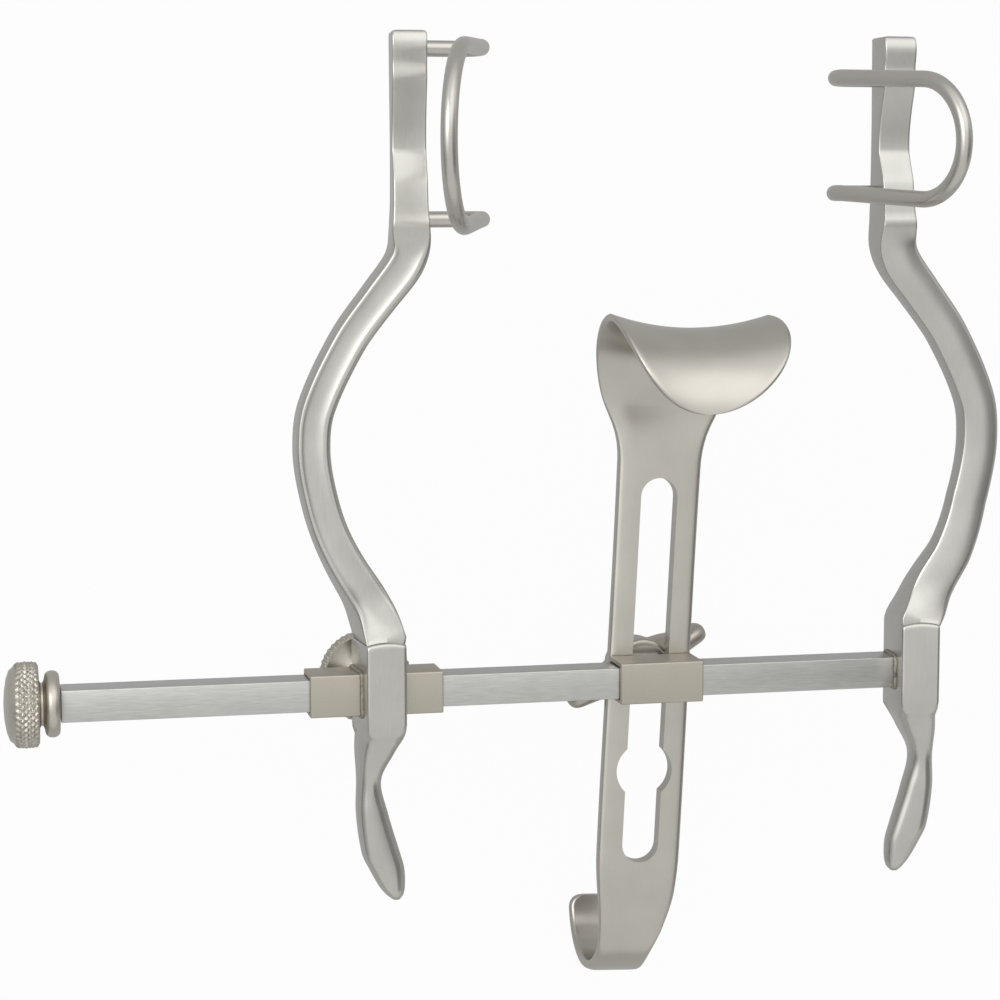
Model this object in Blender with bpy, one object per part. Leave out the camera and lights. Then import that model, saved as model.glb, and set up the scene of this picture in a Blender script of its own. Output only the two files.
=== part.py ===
"""Self-retaining abdominal retractor with two wire-bladed arms and a slotted centre blade.

Units are metres and +Z is up. The instrument lies on its back with the blades upwards:
X runs along the crossbar, Y from the handles to the tips of the arms, and Z from the
table to the front. Sizes below are millimetres and are scaled once, by MM.
"""

import math

import bmesh
import bpy
from mathutils import Matrix, Vector

MM = 0.001

# Crossbar, a solid rectangular bar
BAR_HEIGHT = 6.0
BAR_DEPTH = 7.0
BAR_LEFT_LENGTH = 59.3
BAR_EDGE = 0.35

# Clearances between pieces that slide, turn or seat on each other
SLIDE_GAP = 0.25
SEAT_GAP = 0.3
THREAD_GAP = 0.3

# Sleeves folded round the bar
SLEEVE_WALL = 0.75
SLEEVE_EDGE = 0.3
SLIDE_SLEEVE_OUTER = 13.5
SLIDE_SLEEVE_INNER = 11.8
CENTRE_SLEEVE_LENGTH = 16.4
CENTRE_SLEEVE_X = 54.6

# Forged arms, one mirrored to the other
ARM_SPACING = 106.4
TOE_IN = math.radians(3.4)
BOSS_TURN = math.radians(4.6)
TWIST_START = 11.0
TWIST_END = 34.0
FIXED_NECK_SHIFT = 1.0
BOSS_WIDTH = 7.7
BOSS_FRONT = 8.0
BOSS_BACK = 5.3
BOSS_CORNER = 0.55
BOSS_TOP = 9.5
BOSS_BOTTOM = 6.9
BAR_SOCKET_DEPTH = 4.6
ARM_WIDTH = 6.5
ARM_FRONT = 5.8
ARM_BACK = 1.5
ARM_TOP = 123.0
ARM_CORNER = 1.2
ARM_BACK_CORNER = 2.6
PAD_OFFSET = 6.1
PAD_BOTTOM = 88.0
PAD_SCALLOP = 2.7
BULGE_OFFSET = 12.2
BULGE_HEIGHT = 46.5
HANDLE_LENGTH = 33.4
HANDLE_NECK = 4.3
HANDLE_BELLY = 7.2

# Wire blades
WIRE_DIAMETER = 3.0
WIRE_SIDES = 12
BLADE_HEIGHT_Y = 104.2
SLIDING_BLADE_SPREAD = 31.2
SLIDING_BLADE_FLARE = 0.5
SLIDING_BLADE_DROP = 1.9
FIXED_BLADE_SPREAD = 21.6
FIXED_BLADE_FLARE = 0.0
FIXED_BLADE_DROP = 2.0
WIRE_REACH = 18.9
WIRE_BEND = 4.0
WIRE_EXIT_Z = 2.9
BLADE_TIP_X = 6.35
BLADE_TIP_Z = 39.6
WIRE_SOCKET = 4.0
WIRE_SOCKET_GAP = 0.2

# Filler beads where a bar or a sleeve meets a boss
BEAD_WIDTH = 0.8
BEAD_HEIGHT = 0.5

# Thumb screw behind the sliding arm
THUMB_SCREW_Y = 1.0
THUMB_HEAD_DIAMETER = 17.6
THUMB_HEAD_THICKNESS = 4.0
THUMB_HEAD_CLEARANCE = 0.7
THUMB_NECK_DIAMETER = 8.0
THUMB_NECK_LENGTH = 1.8
THUMB_SHANK_DIAMETER = 5.0

# End knob that keeps the sliding arm on the bar
KNOB_DIAMETER = 16.0
KNOB_LENGTH = 4.6
KNOB_DOME = 1.8
KNOB_NECK_DIAMETER = 8.0
KNOB_NECK_LENGTH = 1.1
COLLAR_DIAMETER = 12.4
COLLAR_LENGTH = 2.5
KNOB_SHANK_DIAMETER = 4.0
KNOB_SHANK_LENGTH = 12.0

# Centre blade: slotted shank, saddle lip at the top and a hook at the bottom
BLADE_LEAN = math.radians(2.97)
SHANK_WIDTH = 16.4
SHANK_THICKNESS = 3.2
LIP_THICKNESS = 1.4
HOOK_THICKNESS = 2.2
SLOT_WIDTH = 7.3
SLOT_TOP = 38.6
SLOT_BOTTOM = 37.6
KEYHOLE_DIAMETER = 11.2
KEYHOLE_DROP = 19.2
LIP_RADIUS = 15.5
LIP_CREST = 67.7
LIP_WIDTH = 31.6
LIP_DISH = 2.7
LIP_SKEW = math.radians(2.0)
LIP_FULL_SIDE = 2.1
FLARE_START = 41.0
HOOK_RADIUS = 12.3
HOOK_BOTTOM = 62.9
HOOK_WIDTH = 10.8
HOOK_DRIFT = 1.5
TONGUE_TOP = 51.0
TONGUE_WIDTH = 11.6
HOOK_TAPER_START = 36.0

# Clamp that holds the centre blade
STUD_DIAMETER = 5.4
STUD_LENGTH = 12.6
GUIDE_WIDTH = 6.4
WASHER_DIAMETER = 10.6
WASHER_THICKNESS = 0.8
NUT_ANGLE = math.radians(26.5)
NUT_HUB_DIAMETER = 12.4
NUT_HUB_TOP_DIAMETER = 11.6
NUT_HUB_HEIGHT = 9.3
NUT_SPAN = 31.0
NUT_WING_THICKNESS = 3.6
NUT_WING_WIDTH = 9.4
NUT_WING_RISE = 1.2

# Values that follow from the sizes above
SLEEVE_HALF_HEIGHT = BAR_HEIGHT / 2 + SLIDE_GAP + SLEEVE_WALL
SLEEVE_HALF_DEPTH = BAR_DEPTH / 2 + SLIDE_GAP + SLEEVE_WALL
BOSS_CENTRE_Z = (BOSS_FRONT - BOSS_BACK) / 2
BAR_RIGHT = ARM_SPACING - BOSS_WIDTH / 2 + BAR_SOCKET_DEPTH - SEAT_GAP
SHANK_FRONT_Z = -(SLEEVE_HALF_DEPTH + SEAT_GAP)
SHANK_MID_Z = SHANK_FRONT_Z - SHANK_THICKNESS / 2
WASHER_FRONT_Z = SHANK_FRONT_Z - SHANK_THICKNESS - SEAT_GAP
NUT_FRONT_Z = WASHER_FRONT_Z - WASHER_THICKNESS - SEAT_GAP


def material(name, colour, roughness, metallic=1.0):
    """A Principled BSDF with one colour, roughness and metallic value."""
    result = bpy.data.materials.new(name)
    result.use_nodes = True
    shader = result.node_tree.nodes["Principled BSDF"]
    shader.inputs["Base Color"].default_value = (*colour, 1.0)
    shader.inputs["Roughness"].default_value = roughness
    shader.inputs["Metallic"].default_value = metallic
    return result


def add_object(name, mesh_data, finish=None, parent=None, helper=False):
    """Links a mesh in millimetres as an object; a helper is a cutter that isn't rendered."""
    mesh_data.transform(Matrix.Scale(MM, 4))
    mesh_data.shade_smooth()
    mesh_data.set_sharp_from_angle(angle=math.radians(35))
    result = bpy.data.objects.new(name, mesh_data)
    bpy.context.scene.collection.objects.link(result)
    if finish is not None:
        mesh_data.materials.append(finish)
    if parent is not None:
        result.parent = parent
    if helper:
        result.hide_render = True
        result.display_type = "WIRE"
    return result


def to_mesh(bm, name):
    """Turns a finished bmesh into mesh data with outward faces."""
    bmesh.ops.recalc_face_normals(bm, faces=bm.faces)
    data = bpy.data.meshes.new(name)
    bm.to_mesh(data)
    bm.free()
    return data


def cut(target, cutter, name):
    """Subtracts a helper from an object with an exact Boolean."""
    modifier = target.modifiers.new(name, "BOOLEAN")
    modifier.operation = "DIFFERENCE"
    modifier.solver = "EXACT"
    modifier.object = cutter


def joined(target, other, name):
    """Adds a helper to an object with an exact Boolean union."""
    modifier = target.modifiers.new(name, "BOOLEAN")
    modifier.operation = "UNION"
    modifier.solver = "EXACT"
    modifier.object = other


def empty(name, location, parent=None, turn=None):
    """An empty that carries the pieces of one moving group."""
    result = bpy.data.objects.new(name, None)
    bpy.context.scene.collection.objects.link(result)
    result.location = Vector(location) * MM
    if turn is not None:
        result.rotation_euler = turn
    if parent is not None:
        result.parent = parent
    return result


def loft(rings):
    """A closed solid through rings of points that all have the same count."""
    bm = bmesh.new()
    loops = [[bm.verts.new(point) for point in ring] for ring in rings]
    count = len(loops[0])
    for low, high in zip(loops, loops[1:]):
        for k in range(count):
            n = (k + 1) % count
            bm.faces.new((low[k], low[n], high[n], high[k]))
    bm.faces.new(loops[0])
    bm.faces.new(list(reversed(loops[-1])))
    return bm


def rounded_section(half_width, front, back, radius, back_radius=None, steps=2):
    """Points (across, depth) of a rectangle with rounded corners, depth from -back to front."""
    most = min(half_width * 0.95, (front + back) * 0.48)
    ahead = min(radius, most)
    behind = min(radius if back_radius is None else back_radius, most)
    points = []
    corners = (
        (half_width - ahead, front - ahead, 0.0, ahead),
        (-half_width + ahead, front - ahead, 0.5 * math.pi, ahead),
        (-half_width + behind, -back + behind, math.pi, behind),
        (half_width - behind, -back + behind, 1.5 * math.pi, behind),
    )
    for across, depth, start, radius in corners:
        for step in range(steps + 1):
            angle = start + 0.5 * math.pi * step / steps
            points.append((across + radius * math.cos(angle), depth + radius * math.sin(angle)))
    return points


def hermite(values, t):
    """Smooth interpolation of a list of (position, value, ...) rows at position t."""
    rows = sorted(values)
    if t <= rows[0][0]:
        return rows[0][1:]
    if t >= rows[-1][0]:
        return rows[-1][1:]
    k = max(i for i in range(len(rows) - 1) if rows[i][0] <= t)
    low, high = rows[k], rows[k + 1]
    before, after = rows[max(k - 1, 0)], rows[min(k + 2, len(rows) - 1)]
    span = high[0] - low[0]
    f = (t - low[0]) / span
    result = []
    for c in range(1, len(low)):
        slope_low = (high[c] - before[c]) / (high[0] - before[0])
        slope_high = (after[c] - low[c]) / (after[0] - low[0])
        result.append(
            (2 * f**3 - 3 * f**2 + 1) * low[c]
            + (f**3 - 2 * f**2 + f) * span * slope_low
            + (3 * f**2 - 2 * f**3) * high[c]
            + (f**3 - f**2) * span * slope_high
        )
    return tuple(result)


def turned(profile, sides=32):
    """A solid of revolution about Z from (radius, height) points that run bottom to top."""
    bm = bmesh.new()
    rings = []
    for radius, height in profile:
        ring = []
        for k in range(sides):
            angle = 2 * math.pi * k / sides
            ring.append((radius * math.cos(angle), radius * math.sin(angle), height))
        rings.append(ring)
    bm.free()
    return loft(rings)


def block(low, high, edge=0.0):
    """A box between two corners, with bevelled edges if edge is set."""
    bm = bmesh.new()
    bmesh.ops.create_cube(bm, size=1.0)
    size = [h - l for l, h in zip(low, high)]
    centre = [(h + l) / 2 for l, h in zip(low, high)]
    bmesh.ops.scale(bm, vec=size, verts=bm.verts)
    bmesh.ops.translate(bm, vec=centre, verts=bm.verts)
    if edge:
        bmesh.ops.bevel(bm, geom=bm.edges[:], offset=edge, segments=2, profile=0.5, affect="EDGES")
    return bm


def frame_tube(x_low, x_high, inner, outer, edge=0.0):
    """A rectangular tube along X; inner and outer are (half height, half depth)."""
    rings = []
    for x, (half_y, half_z) in ((x_low, outer), (x_high, outer), (x_high, inner), (x_low, inner)):
        corner = edge if half_y == outer[0] else 0.0
        corner = max(corner, 0.02)
        section = rounded_section(half_z, half_y, half_y, corner)
        rings.append([(x, depth, across) for across, depth in section])
    bm = bmesh.new()
    loops = [[bm.verts.new(point) for point in ring] for ring in rings]
    count = len(loops[0])
    for low, high in zip(loops, loops[1:] + loops[:1]):
        for k in range(count):
            n = (k + 1) % count
            bm.faces.new((low[k], low[n], high[n], high[k]))
    return bm


def arm_centreline():
    """(height, offset) rows of the arm's centreline, from the boss to the top."""
    return [
        (BOSS_TOP + 0.9, 0.3),
        (18.0, -2.9),
        (30.0, -8.7),
        (BULGE_HEIGHT - 7.5, -BULGE_OFFSET + 0.9),
        (BULGE_HEIGHT, -BULGE_OFFSET),
        (BULGE_HEIGHT + 7.5, -BULGE_OFFSET + 1.0),
        (66.0, -5.4),
        (74.5, 0.7),
        (80.0, 4.6),
        (83.5, PAD_OFFSET - 0.25),
        (PAD_BOTTOM, PAD_OFFSET),
        (ARM_TOP, PAD_OFFSET),
    ]


def arm_widths():
    """(height, width, shift) rows: the arm's width and how far it is moved across."""
    return [
        (BOSS_TOP + 0.9, BOSS_WIDTH + 0.3, 0.1),
        (14.0, BOSS_WIDTH + 0.5, 0.25),
        (18.0, BOSS_WIDTH + 0.3, 0.1),
        (24.0, ARM_WIDTH + 1.2, -0.4),
        (32.0, ARM_WIDTH + 0.9, -0.45),
        (BULGE_HEIGHT, ARM_WIDTH + 0.75, -0.4),
        (60.0, ARM_WIDTH + 0.75, -0.4),
        (72.0, ARM_WIDTH + 0.8, -0.4),
        (80.0, ARM_WIDTH + 1.2, -0.1),
        (84.0, ARM_WIDTH + 1.1, 0.05),
        (PAD_BOTTOM, ARM_WIDTH + 0.4, 0.0),
        (PAD_BOTTOM + 4.0, ARM_WIDTH, 0.0),
        (ARM_TOP, ARM_WIDTH, 0.0),
    ]


def arm_depths():
    """(height, front, back) rows: how far the arm reaches to the front and the back."""
    middle = BLADE_HEIGHT_Y
    end = SLIDING_BLADE_SPREAD / 2
    return [
        (BOSS_TOP + 0.9, ARM_FRONT + 0.7, BOSS_BACK - 0.3),
        (BOSS_TOP + 5.0, ARM_FRONT + 0.1, BOSS_BACK - 1.2),
        (18.0, ARM_FRONT - 0.3, ARM_BACK + 1.8),
        (21.5, ARM_FRONT - 0.35, ARM_BACK + 0.9),
        (26.0, ARM_FRONT - 0.4, ARM_BACK - 0.2),
        (36.0, ARM_FRONT - 0.4, ARM_BACK - 0.7),
        (BULGE_HEIGHT, ARM_FRONT - 0.3, ARM_BACK - 0.5),
        (60.0, ARM_FRONT - 0.1, ARM_BACK - 0.6),
        (PAD_BOTTOM - 12.0, ARM_FRONT, ARM_BACK),
        (middle - end, ARM_FRONT, ARM_BACK),
        (middle, ARM_FRONT - PAD_SCALLOP, ARM_BACK - 0.2),
        (middle + end, ARM_FRONT, ARM_BACK),
        (ARM_TOP, ARM_FRONT - 0.5, ARM_BACK),
    ]


def arm_rings(side):
    """Sections of the arm square to its centreline, from the boss up to the tip."""
    line = arm_centreline()
    depths = arm_depths()
    widths = arm_widths()
    rings = []
    steps = 34
    low, high = line[0][0], ARM_TOP - 1.0
    for k in range(steps + 1):
        y = low + (high - low) * k / steps
        x = hermite(line, y)[0]
        ahead, behind = hermite(line, y + 0.2)[0], hermite(line, y - 0.2)[0]
        tilt = math.atan2(ahead - behind, 0.4)
        width, shift = hermite(widths, y)
        if side < 0:
            shift -= FIXED_NECK_SHIFT * min(max((TWIST_END - y) / 10.0, 0.0), 1.0)
        front, back = hermite(depths, y)
        ease = min(max((y - low) / 8.0, 0.0), 1.0) * min(max((PAD_BOTTOM + 2.0 - y) / 10.0, 0.0), 1.0)
        behind_corner = ARM_CORNER + (ARM_BACK_CORNER - ARM_CORNER) * ease
        section = rounded_section(width / 2, front, back, ARM_CORNER, behind_corner)
        ring = []
        for across, depth in section:
            across += shift
            ring.append((x + across * math.cos(tilt), y - across * math.sin(tilt), depth))
        rings.append(ring)
    tip = rounded_section(ARM_WIDTH / 2 - 0.9, ARM_FRONT - 1.6, ARM_BACK - 0.8, ARM_CORNER)
    rings.append([(PAD_OFFSET + across, ARM_TOP, depth) for across, depth in tip])
    return rings


def handle_rows():
    """(height, offset, width, front, back) rows of the handle below the boss."""
    end = -(BOSS_BOTTOM + HANDLE_LENGTH)
    return [
        (-BOSS_BOTTOM - 1.6, -0.1, BOSS_WIDTH - 0.2, BOSS_FRONT - 1.0, BOSS_BACK - 0.9),
        (-BOSS_BOTTOM - 4.4, -1.0, 6.4, 5.9, 3.6),
        (-BOSS_BOTTOM - 9.8, -2.1, HANDLE_NECK, 4.2, 1.9),
        (-BOSS_BOTTOM - 16.5, -1.5, 5.9, 3.9, 1.5),
        (-BOSS_BOTTOM - 24.4, 0.2, HANDLE_BELLY, 3.7, 1.3),
        (end + 6.0, 1.3, 6.7, 3.5, 1.1),
        (end + 2.6, 2.3, 5.0, 3.2, 0.9),
        (end + 0.9, 2.8, 3.3, 2.9, 0.6),
        (end, 3.0, 1.4, 2.3, 0.0),
    ]


def boss_rings():
    """Sections of the boss, top to bottom, with an eased shoulder at the front."""
    rings = []
    rows = (
        (BOSS_TOP + 0.15, 0.55, 0.35),
        (BOSS_TOP - 0.35, 0.1, 0.1),
        (BOSS_TOP - 1.0, 0.0, 0.0),
        (-BOSS_BOTTOM, 0.0, 0.0),
    )
    for y, ease, narrow in rows:
        half = BOSS_WIDTH / 2 - narrow / 2
        section = rounded_section(half, BOSS_FRONT - ease, BOSS_BACK, BOSS_CORNER)
        rings.append([(across, y, depth) for across, depth in section])
    return rings


def forging(name, finish, parent, side):
    """Arm, boss and handle in one piece; side is 1 for the sliding arm and -1 for the fixed one."""
    rings = list(reversed(arm_rings(side))) + boss_rings()
    for k in range(13):
        top = -BOSS_BOTTOM - 1.6
        end = -(BOSS_BOTTOM + HANDLE_LENGTH)
        y = top + (end - top) * math.sin(0.5 * math.pi * k / 12) ** 1.15
        offset, width, front, back = hermite(handle_rows(), y)
        section = rounded_section(width / 2, front, back, ARM_CORNER + 0.6)
        rings.append([(offset + across, y, depth) for across, depth in section])
    bm = loft([[twisted(point, side) for point in ring] for ring in rings])
    return add_object(name, to_mesh(bm, name), finish, parent)


def twisted(point, side):
    """A point of the forging after mirroring, its turn at the boss and its toe-in above."""
    x, y, z = point
    t = min(max((y - TWIST_START) / (TWIST_END - TWIST_START), 0.0), 1.0)
    angle = -BOSS_TURN + (TOE_IN + BOSS_TURN) * t * t * (3 - 2 * t)
    centre = Vector((0, 0, BOSS_CENTRE_Z))
    turn = Matrix.Rotation(-side * angle, 3, "Y")
    return turn @ (Vector((side * x, y, z)) - centre) + centre


def wire_path(spread, flare, drop):
    """Centreline points of a wire blade on the sliding arm's side, before any mirroring."""
    half = spread / 2
    wide = (spread + flare) / 2
    down = Vector((BLADE_TIP_X - WIRE_REACH, 0, BLADE_TIP_Z - (WIRE_EXIT_Z + WIRE_BEND))).normalized()
    sweep = math.atan2(-down.x, down.z)
    plan = [Vector((PAD_OFFSET + ARM_WIDTH / 2 - WIRE_SOCKET, 0, WIRE_EXIT_Z))]
    centre = Vector((WIRE_REACH - WIRE_BEND, 0, WIRE_EXIT_Z + WIRE_BEND))
    for k in range(9):
        angle = (0.5 * math.pi + sweep) * k / 8
        plan.append(centre + WIRE_BEND * Vector((math.sin(angle), 0, -math.cos(angle))))
    tip = Vector((BLADE_TIP_X, 0, BLADE_TIP_Z))
    reach = (tip - plan[-1]).dot(down)
    points = [p + Vector((0, half, 0)) for p in plan]
    for k in range(17):
        angle = math.pi * k / 16
        along = reach - wide + wide * math.sin(angle)
        fall = drop * along / reach
        points.append(plan[-1] + down * along + Vector((0, wide * math.cos(angle) - fall, 0)))
    points += [p - Vector((0, half, 0)) for p in reversed(plan)]
    return points


def wire(name, path, finish, parent, grow=0.0):
    """A round wire swept along a path with capped ends."""
    bm = bmesh.new()
    normal = None
    rings = []
    for k, point in enumerate(path):
        before, after = path[max(k - 1, 0)], path[min(k + 1, len(path) - 1)]
        tangent = (after - before).normalized()
        if normal is None:
            normal = tangent.orthogonal().normalized()
        normal = (normal - tangent * normal.dot(tangent)).normalized()
        side = tangent.cross(normal)
        if 0 < k < len(path) - 1:
            bend = (point - before).normalized().dot(tangent)
        else:
            bend = 1.0
        radius = WIRE_DIAMETER / 2 + grow
        ring = []
        for s in range(WIRE_SIDES):
            angle = 2 * math.pi * s / WIRE_SIDES
            offset = normal * math.cos(angle) + side * math.sin(angle)
            ring.append(point + offset * radius / max(bend, 0.9))
        rings.append(ring)
    bm.free()
    return add_object(name, to_mesh(loft(rings), name), finish, parent)


def blade_wire(name, size, side, finish, parent):
    """A wire blade of (spread, flare, drop); side is 1 on the sliding arm and -1 on the fixed one."""
    points = [Vector((side * p.x, p.y + BLADE_HEIGHT_Y, p.z)) for p in wire_path(*size)]
    return wire(name, points, finish, parent)


def drill_wire_sockets(arm, spread, side, parent):
    """Cuts the two blind holes of a wire blade into the inner face of its arm."""
    for sign in (1, -1):
        face = PAD_OFFSET + ARM_WIDTH / 2
        y = BLADE_HEIGHT_Y + sign * spread / 2
        inner = Vector((side * (face - WIRE_SOCKET - SEAT_GAP), y, WIRE_EXIT_Z))
        outer = Vector((side * (face + 3.0), y, WIRE_EXIT_Z))
        radius = WIRE_DIAMETER / 2 + WIRE_SOCKET_GAP
        length = (outer - inner).length
        bm = bmesh.new()
        bmesh.ops.create_cone(
            bm, cap_ends=True, segments=WIRE_SIDES, radius1=radius, radius2=radius, depth=length
        )
        axis = (outer - inner).normalized()
        turn = axis.to_track_quat("Z", "Y").to_matrix().to_4x4()
        bmesh.ops.transform(bm, matrix=Matrix.Translation((inner + outer) / 2) @ turn, verts=bm.verts)
        label = f"{arm.name}_socket_cutter_{'upper' if sign > 0 else 'lower'}"
        cut(arm, add_object(label, to_mesh(bm, label), parent=parent, helper=True), "wire_socket")


def round_cutter(name, radius, low, high, axis, parent, centre=(0.0, 0.0)):
    """A cylinder helper along Z or X between low and high."""
    bm = bmesh.new()
    bmesh.ops.create_cone(
        bm, cap_ends=True, segments=24, radius1=radius, radius2=radius, depth=high - low
    )
    if axis == "X":
        bmesh.ops.rotate(bm, matrix=Matrix.Rotation(math.pi / 2, 3, "Y"), verts=bm.verts)
        middle = ((low + high) / 2, centre[0], centre[1])
    else:
        middle = (centre[0], centre[1], (low + high) / 2)
    bmesh.ops.translate(bm, vec=middle, verts=bm.verts)
    return add_object(name, to_mesh(bm, name), parent=parent, helper=True)


def crossbar(finish, parent):
    """The bar, with the tapped hole of the end knob in its left end."""
    low = (-BAR_LEFT_LENGTH, -BAR_HEIGHT / 2, -BAR_DEPTH / 2)
    high = (BAR_RIGHT, BAR_HEIGHT / 2, BAR_DEPTH / 2)
    result = add_object("crossbar", to_mesh(block(low, high, BAR_EDGE), "crossbar"), finish, parent)
    hole = round_cutter(
        "end_hole_cutter",
        KNOB_SHANK_DIAMETER / 2 + THREAD_GAP,
        -BAR_LEFT_LENGTH - 2.0,
        -BAR_LEFT_LENGTH + KNOB_SHANK_LENGTH + 1.0,
        "X",
        parent,
    )
    cut(result, hole, "end_hole")
    return result


def sleeve(name, x_low, x_high, finish, parent):
    """A rectangular tube that slides on the bar."""
    inner = (BAR_HEIGHT / 2 + SLIDE_GAP, BAR_DEPTH / 2 + SLIDE_GAP)
    outer = (SLEEVE_HALF_HEIGHT, SLEEVE_HALF_DEPTH)
    tube = frame_tube(x_low, x_high, inner, outer, SLEEVE_EDGE)
    return add_object(name, to_mesh(tube, name), finish, parent)


def bead(name, side, direction, inner, finish, parent):
    """A filler bead round a sleeve or the bar, sheared so that it lies along the boss flank."""
    start = direction * (BOSS_WIDTH / 2 / math.cos(BOSS_TURN) + SEAT_GAP)
    end = start + direction * BEAD_WIDTH
    outer = (inner[0] + BEAD_HEIGHT, inner[1] + BEAD_HEIGHT)
    bm = frame_tube(min(start, end), max(start, end), inner, outer, BEAD_HEIGHT)
    for vert in bm.verts:
        vert.co.x += side * (vert.co.z - BOSS_CENTRE_Z) * math.tan(BOSS_TURN)
    return add_object(name, to_mesh(bm, name), finish, parent)


def screw_seat(parent):
    """An empty square to the back of the turned sliding boss, for the thumb screw."""
    lift = BOSS_CENTRE_Z * (1 - math.cos(BOSS_TURN))
    location = (-BOSS_CENTRE_Z * math.sin(BOSS_TURN), THUMB_SCREW_Y, lift)
    return empty("screw_seat", location, parent, (0, BOSS_TURN, 0))


def sliding_side(finishes, parent, seat):
    """The sliding arm with its sleeve, beads and wire blade."""
    arm = forging("sliding_arm", finishes["forged"], parent, 1)
    gap = SLIDE_GAP
    hole = block(
        (-BOSS_WIDTH, -SLEEVE_HALF_HEIGHT - gap, -SLEEVE_HALF_DEPTH - gap),
        (BOSS_WIDTH, SLEEVE_HALF_HEIGHT + gap, SLEEVE_HALF_DEPTH + gap),
    )
    cutter = add_object("sleeve_hole_cutter", to_mesh(hole, "sleeve_hole"), parent=parent, helper=True)
    cut(arm, cutter, "sleeve_hole")
    tube = sleeve("slide_sleeve", -SLIDE_SLEEVE_OUTER, SLIDE_SLEEVE_INNER, finishes["blasted"], parent)
    radius = THUMB_SHANK_DIAMETER / 2 + THREAD_GAP
    drill = round_cutter("thumb_hole_cutter", radius, -BOSS_BACK - 3.0, -BAR_DEPTH / 2 + 0.3, "Z", seat)
    cut(arm, drill, "thumb_hole")
    cut(tube, drill, "thumb_hole")
    drill_wire_sockets(arm, SLIDING_BLADE_SPREAD, 1, parent)
    around = (SLEEVE_HALF_HEIGHT + gap, SLEEVE_HALF_DEPTH + gap)
    bead("outer_braze_bead", 1, -1, around, finishes["braze"], parent)
    bead("inner_braze_bead", 1, 1, around, finishes["braze"], parent)
    size = (SLIDING_BLADE_SPREAD, SLIDING_BLADE_FLARE, SLIDING_BLADE_DROP)
    blade_wire("sliding_blade_wire", size, 1, finishes["polished"], parent)


def fixed_side(finishes, parent):
    """The fixed arm with its bead and wire blade, at the right end of the bar."""
    arm = forging("fixed_arm", finishes["forged"], parent, -1)
    gap = SLIDE_GAP
    pocket = block(
        (-BOSS_WIDTH * 1.5, -BAR_HEIGHT / 2 - gap, -BAR_DEPTH / 2 - gap),
        (-BOSS_WIDTH / 2 + BAR_SOCKET_DEPTH, BAR_HEIGHT / 2 + gap, BAR_DEPTH / 2 + gap),
    )
    cutter = add_object("bar_socket_cutter", to_mesh(pocket, "bar_socket"), parent=parent, helper=True)
    cut(arm, cutter, "bar_socket")
    drill_wire_sockets(arm, FIXED_BLADE_SPREAD, -1, parent)
    around = (BAR_HEIGHT / 2 + gap, BAR_DEPTH / 2 + gap)
    bead("fixed_braze_bead", -1, -1, around, finishes["braze"], parent)
    size = (FIXED_BLADE_SPREAD, FIXED_BLADE_FLARE, FIXED_BLADE_DROP)
    blade_wire("fixed_blade_wire", size, -1, finishes["polished"], parent)


def thumb_screw(finishes, parent):
    """Knurled head and threaded shank of the screw that locks the sliding arm."""
    head_top = -BOSS_BACK - THUMB_HEAD_CLEARANCE
    disc_top = head_top - THUMB_NECK_LENGTH
    disc_bottom = disc_top - THUMB_HEAD_THICKNESS
    radius = THUMB_HEAD_DIAMETER / 2
    shank_radius = THUMB_SHANK_DIAMETER / 2
    profile = [
        (shank_radius + SEAT_GAP, disc_bottom + 0.2),
        (radius - 0.9, disc_bottom),
        (radius, disc_bottom + 0.7),
        (radius, disc_top - 0.5),
        (radius - 0.6, disc_top),
        (THUMB_NECK_DIAMETER / 2, disc_top),
        (THUMB_NECK_DIAMETER / 2, head_top),
        (shank_radius + SEAT_GAP, head_top),
    ]
    bm = ring_solid(profile, 36)
    add_object("thumb_screw_head", to_mesh(bm, "thumb_screw_head"), finishes["knurled"], parent)
    end = -BAR_DEPTH / 2 - SEAT_GAP - shank_radius * math.sin(BOSS_TURN)
    profile = [
        (shank_radius - 0.4, disc_bottom - 0.3),
        (shank_radius, disc_bottom + 0.1),
        (shank_radius, end - 0.5),
        (shank_radius - 0.5, end),
    ]
    add_object(
        "thumb_screw_shank", to_mesh(turned(profile, 20), "thumb_screw_shank"), finishes["polished"], parent
    )


def ring_solid(profile, sides):
    """A turned solid with a hole: the closed profile never reaches the axis."""
    bm = bmesh.new()
    loops = []
    for radius, height in profile:
        ring = []
        for k in range(sides):
            angle = 2 * math.pi * k / sides
            ring.append(bm.verts.new((radius * math.cos(angle), radius * math.sin(angle), height)))
        loops.append(ring)
    for low, high in zip(loops, loops[1:] + loops[:1]):
        for k in range(sides):
            n = (k + 1) % sides
            bm.faces.new((low[k], low[n], high[n], high[k]))
    return bm


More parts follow.
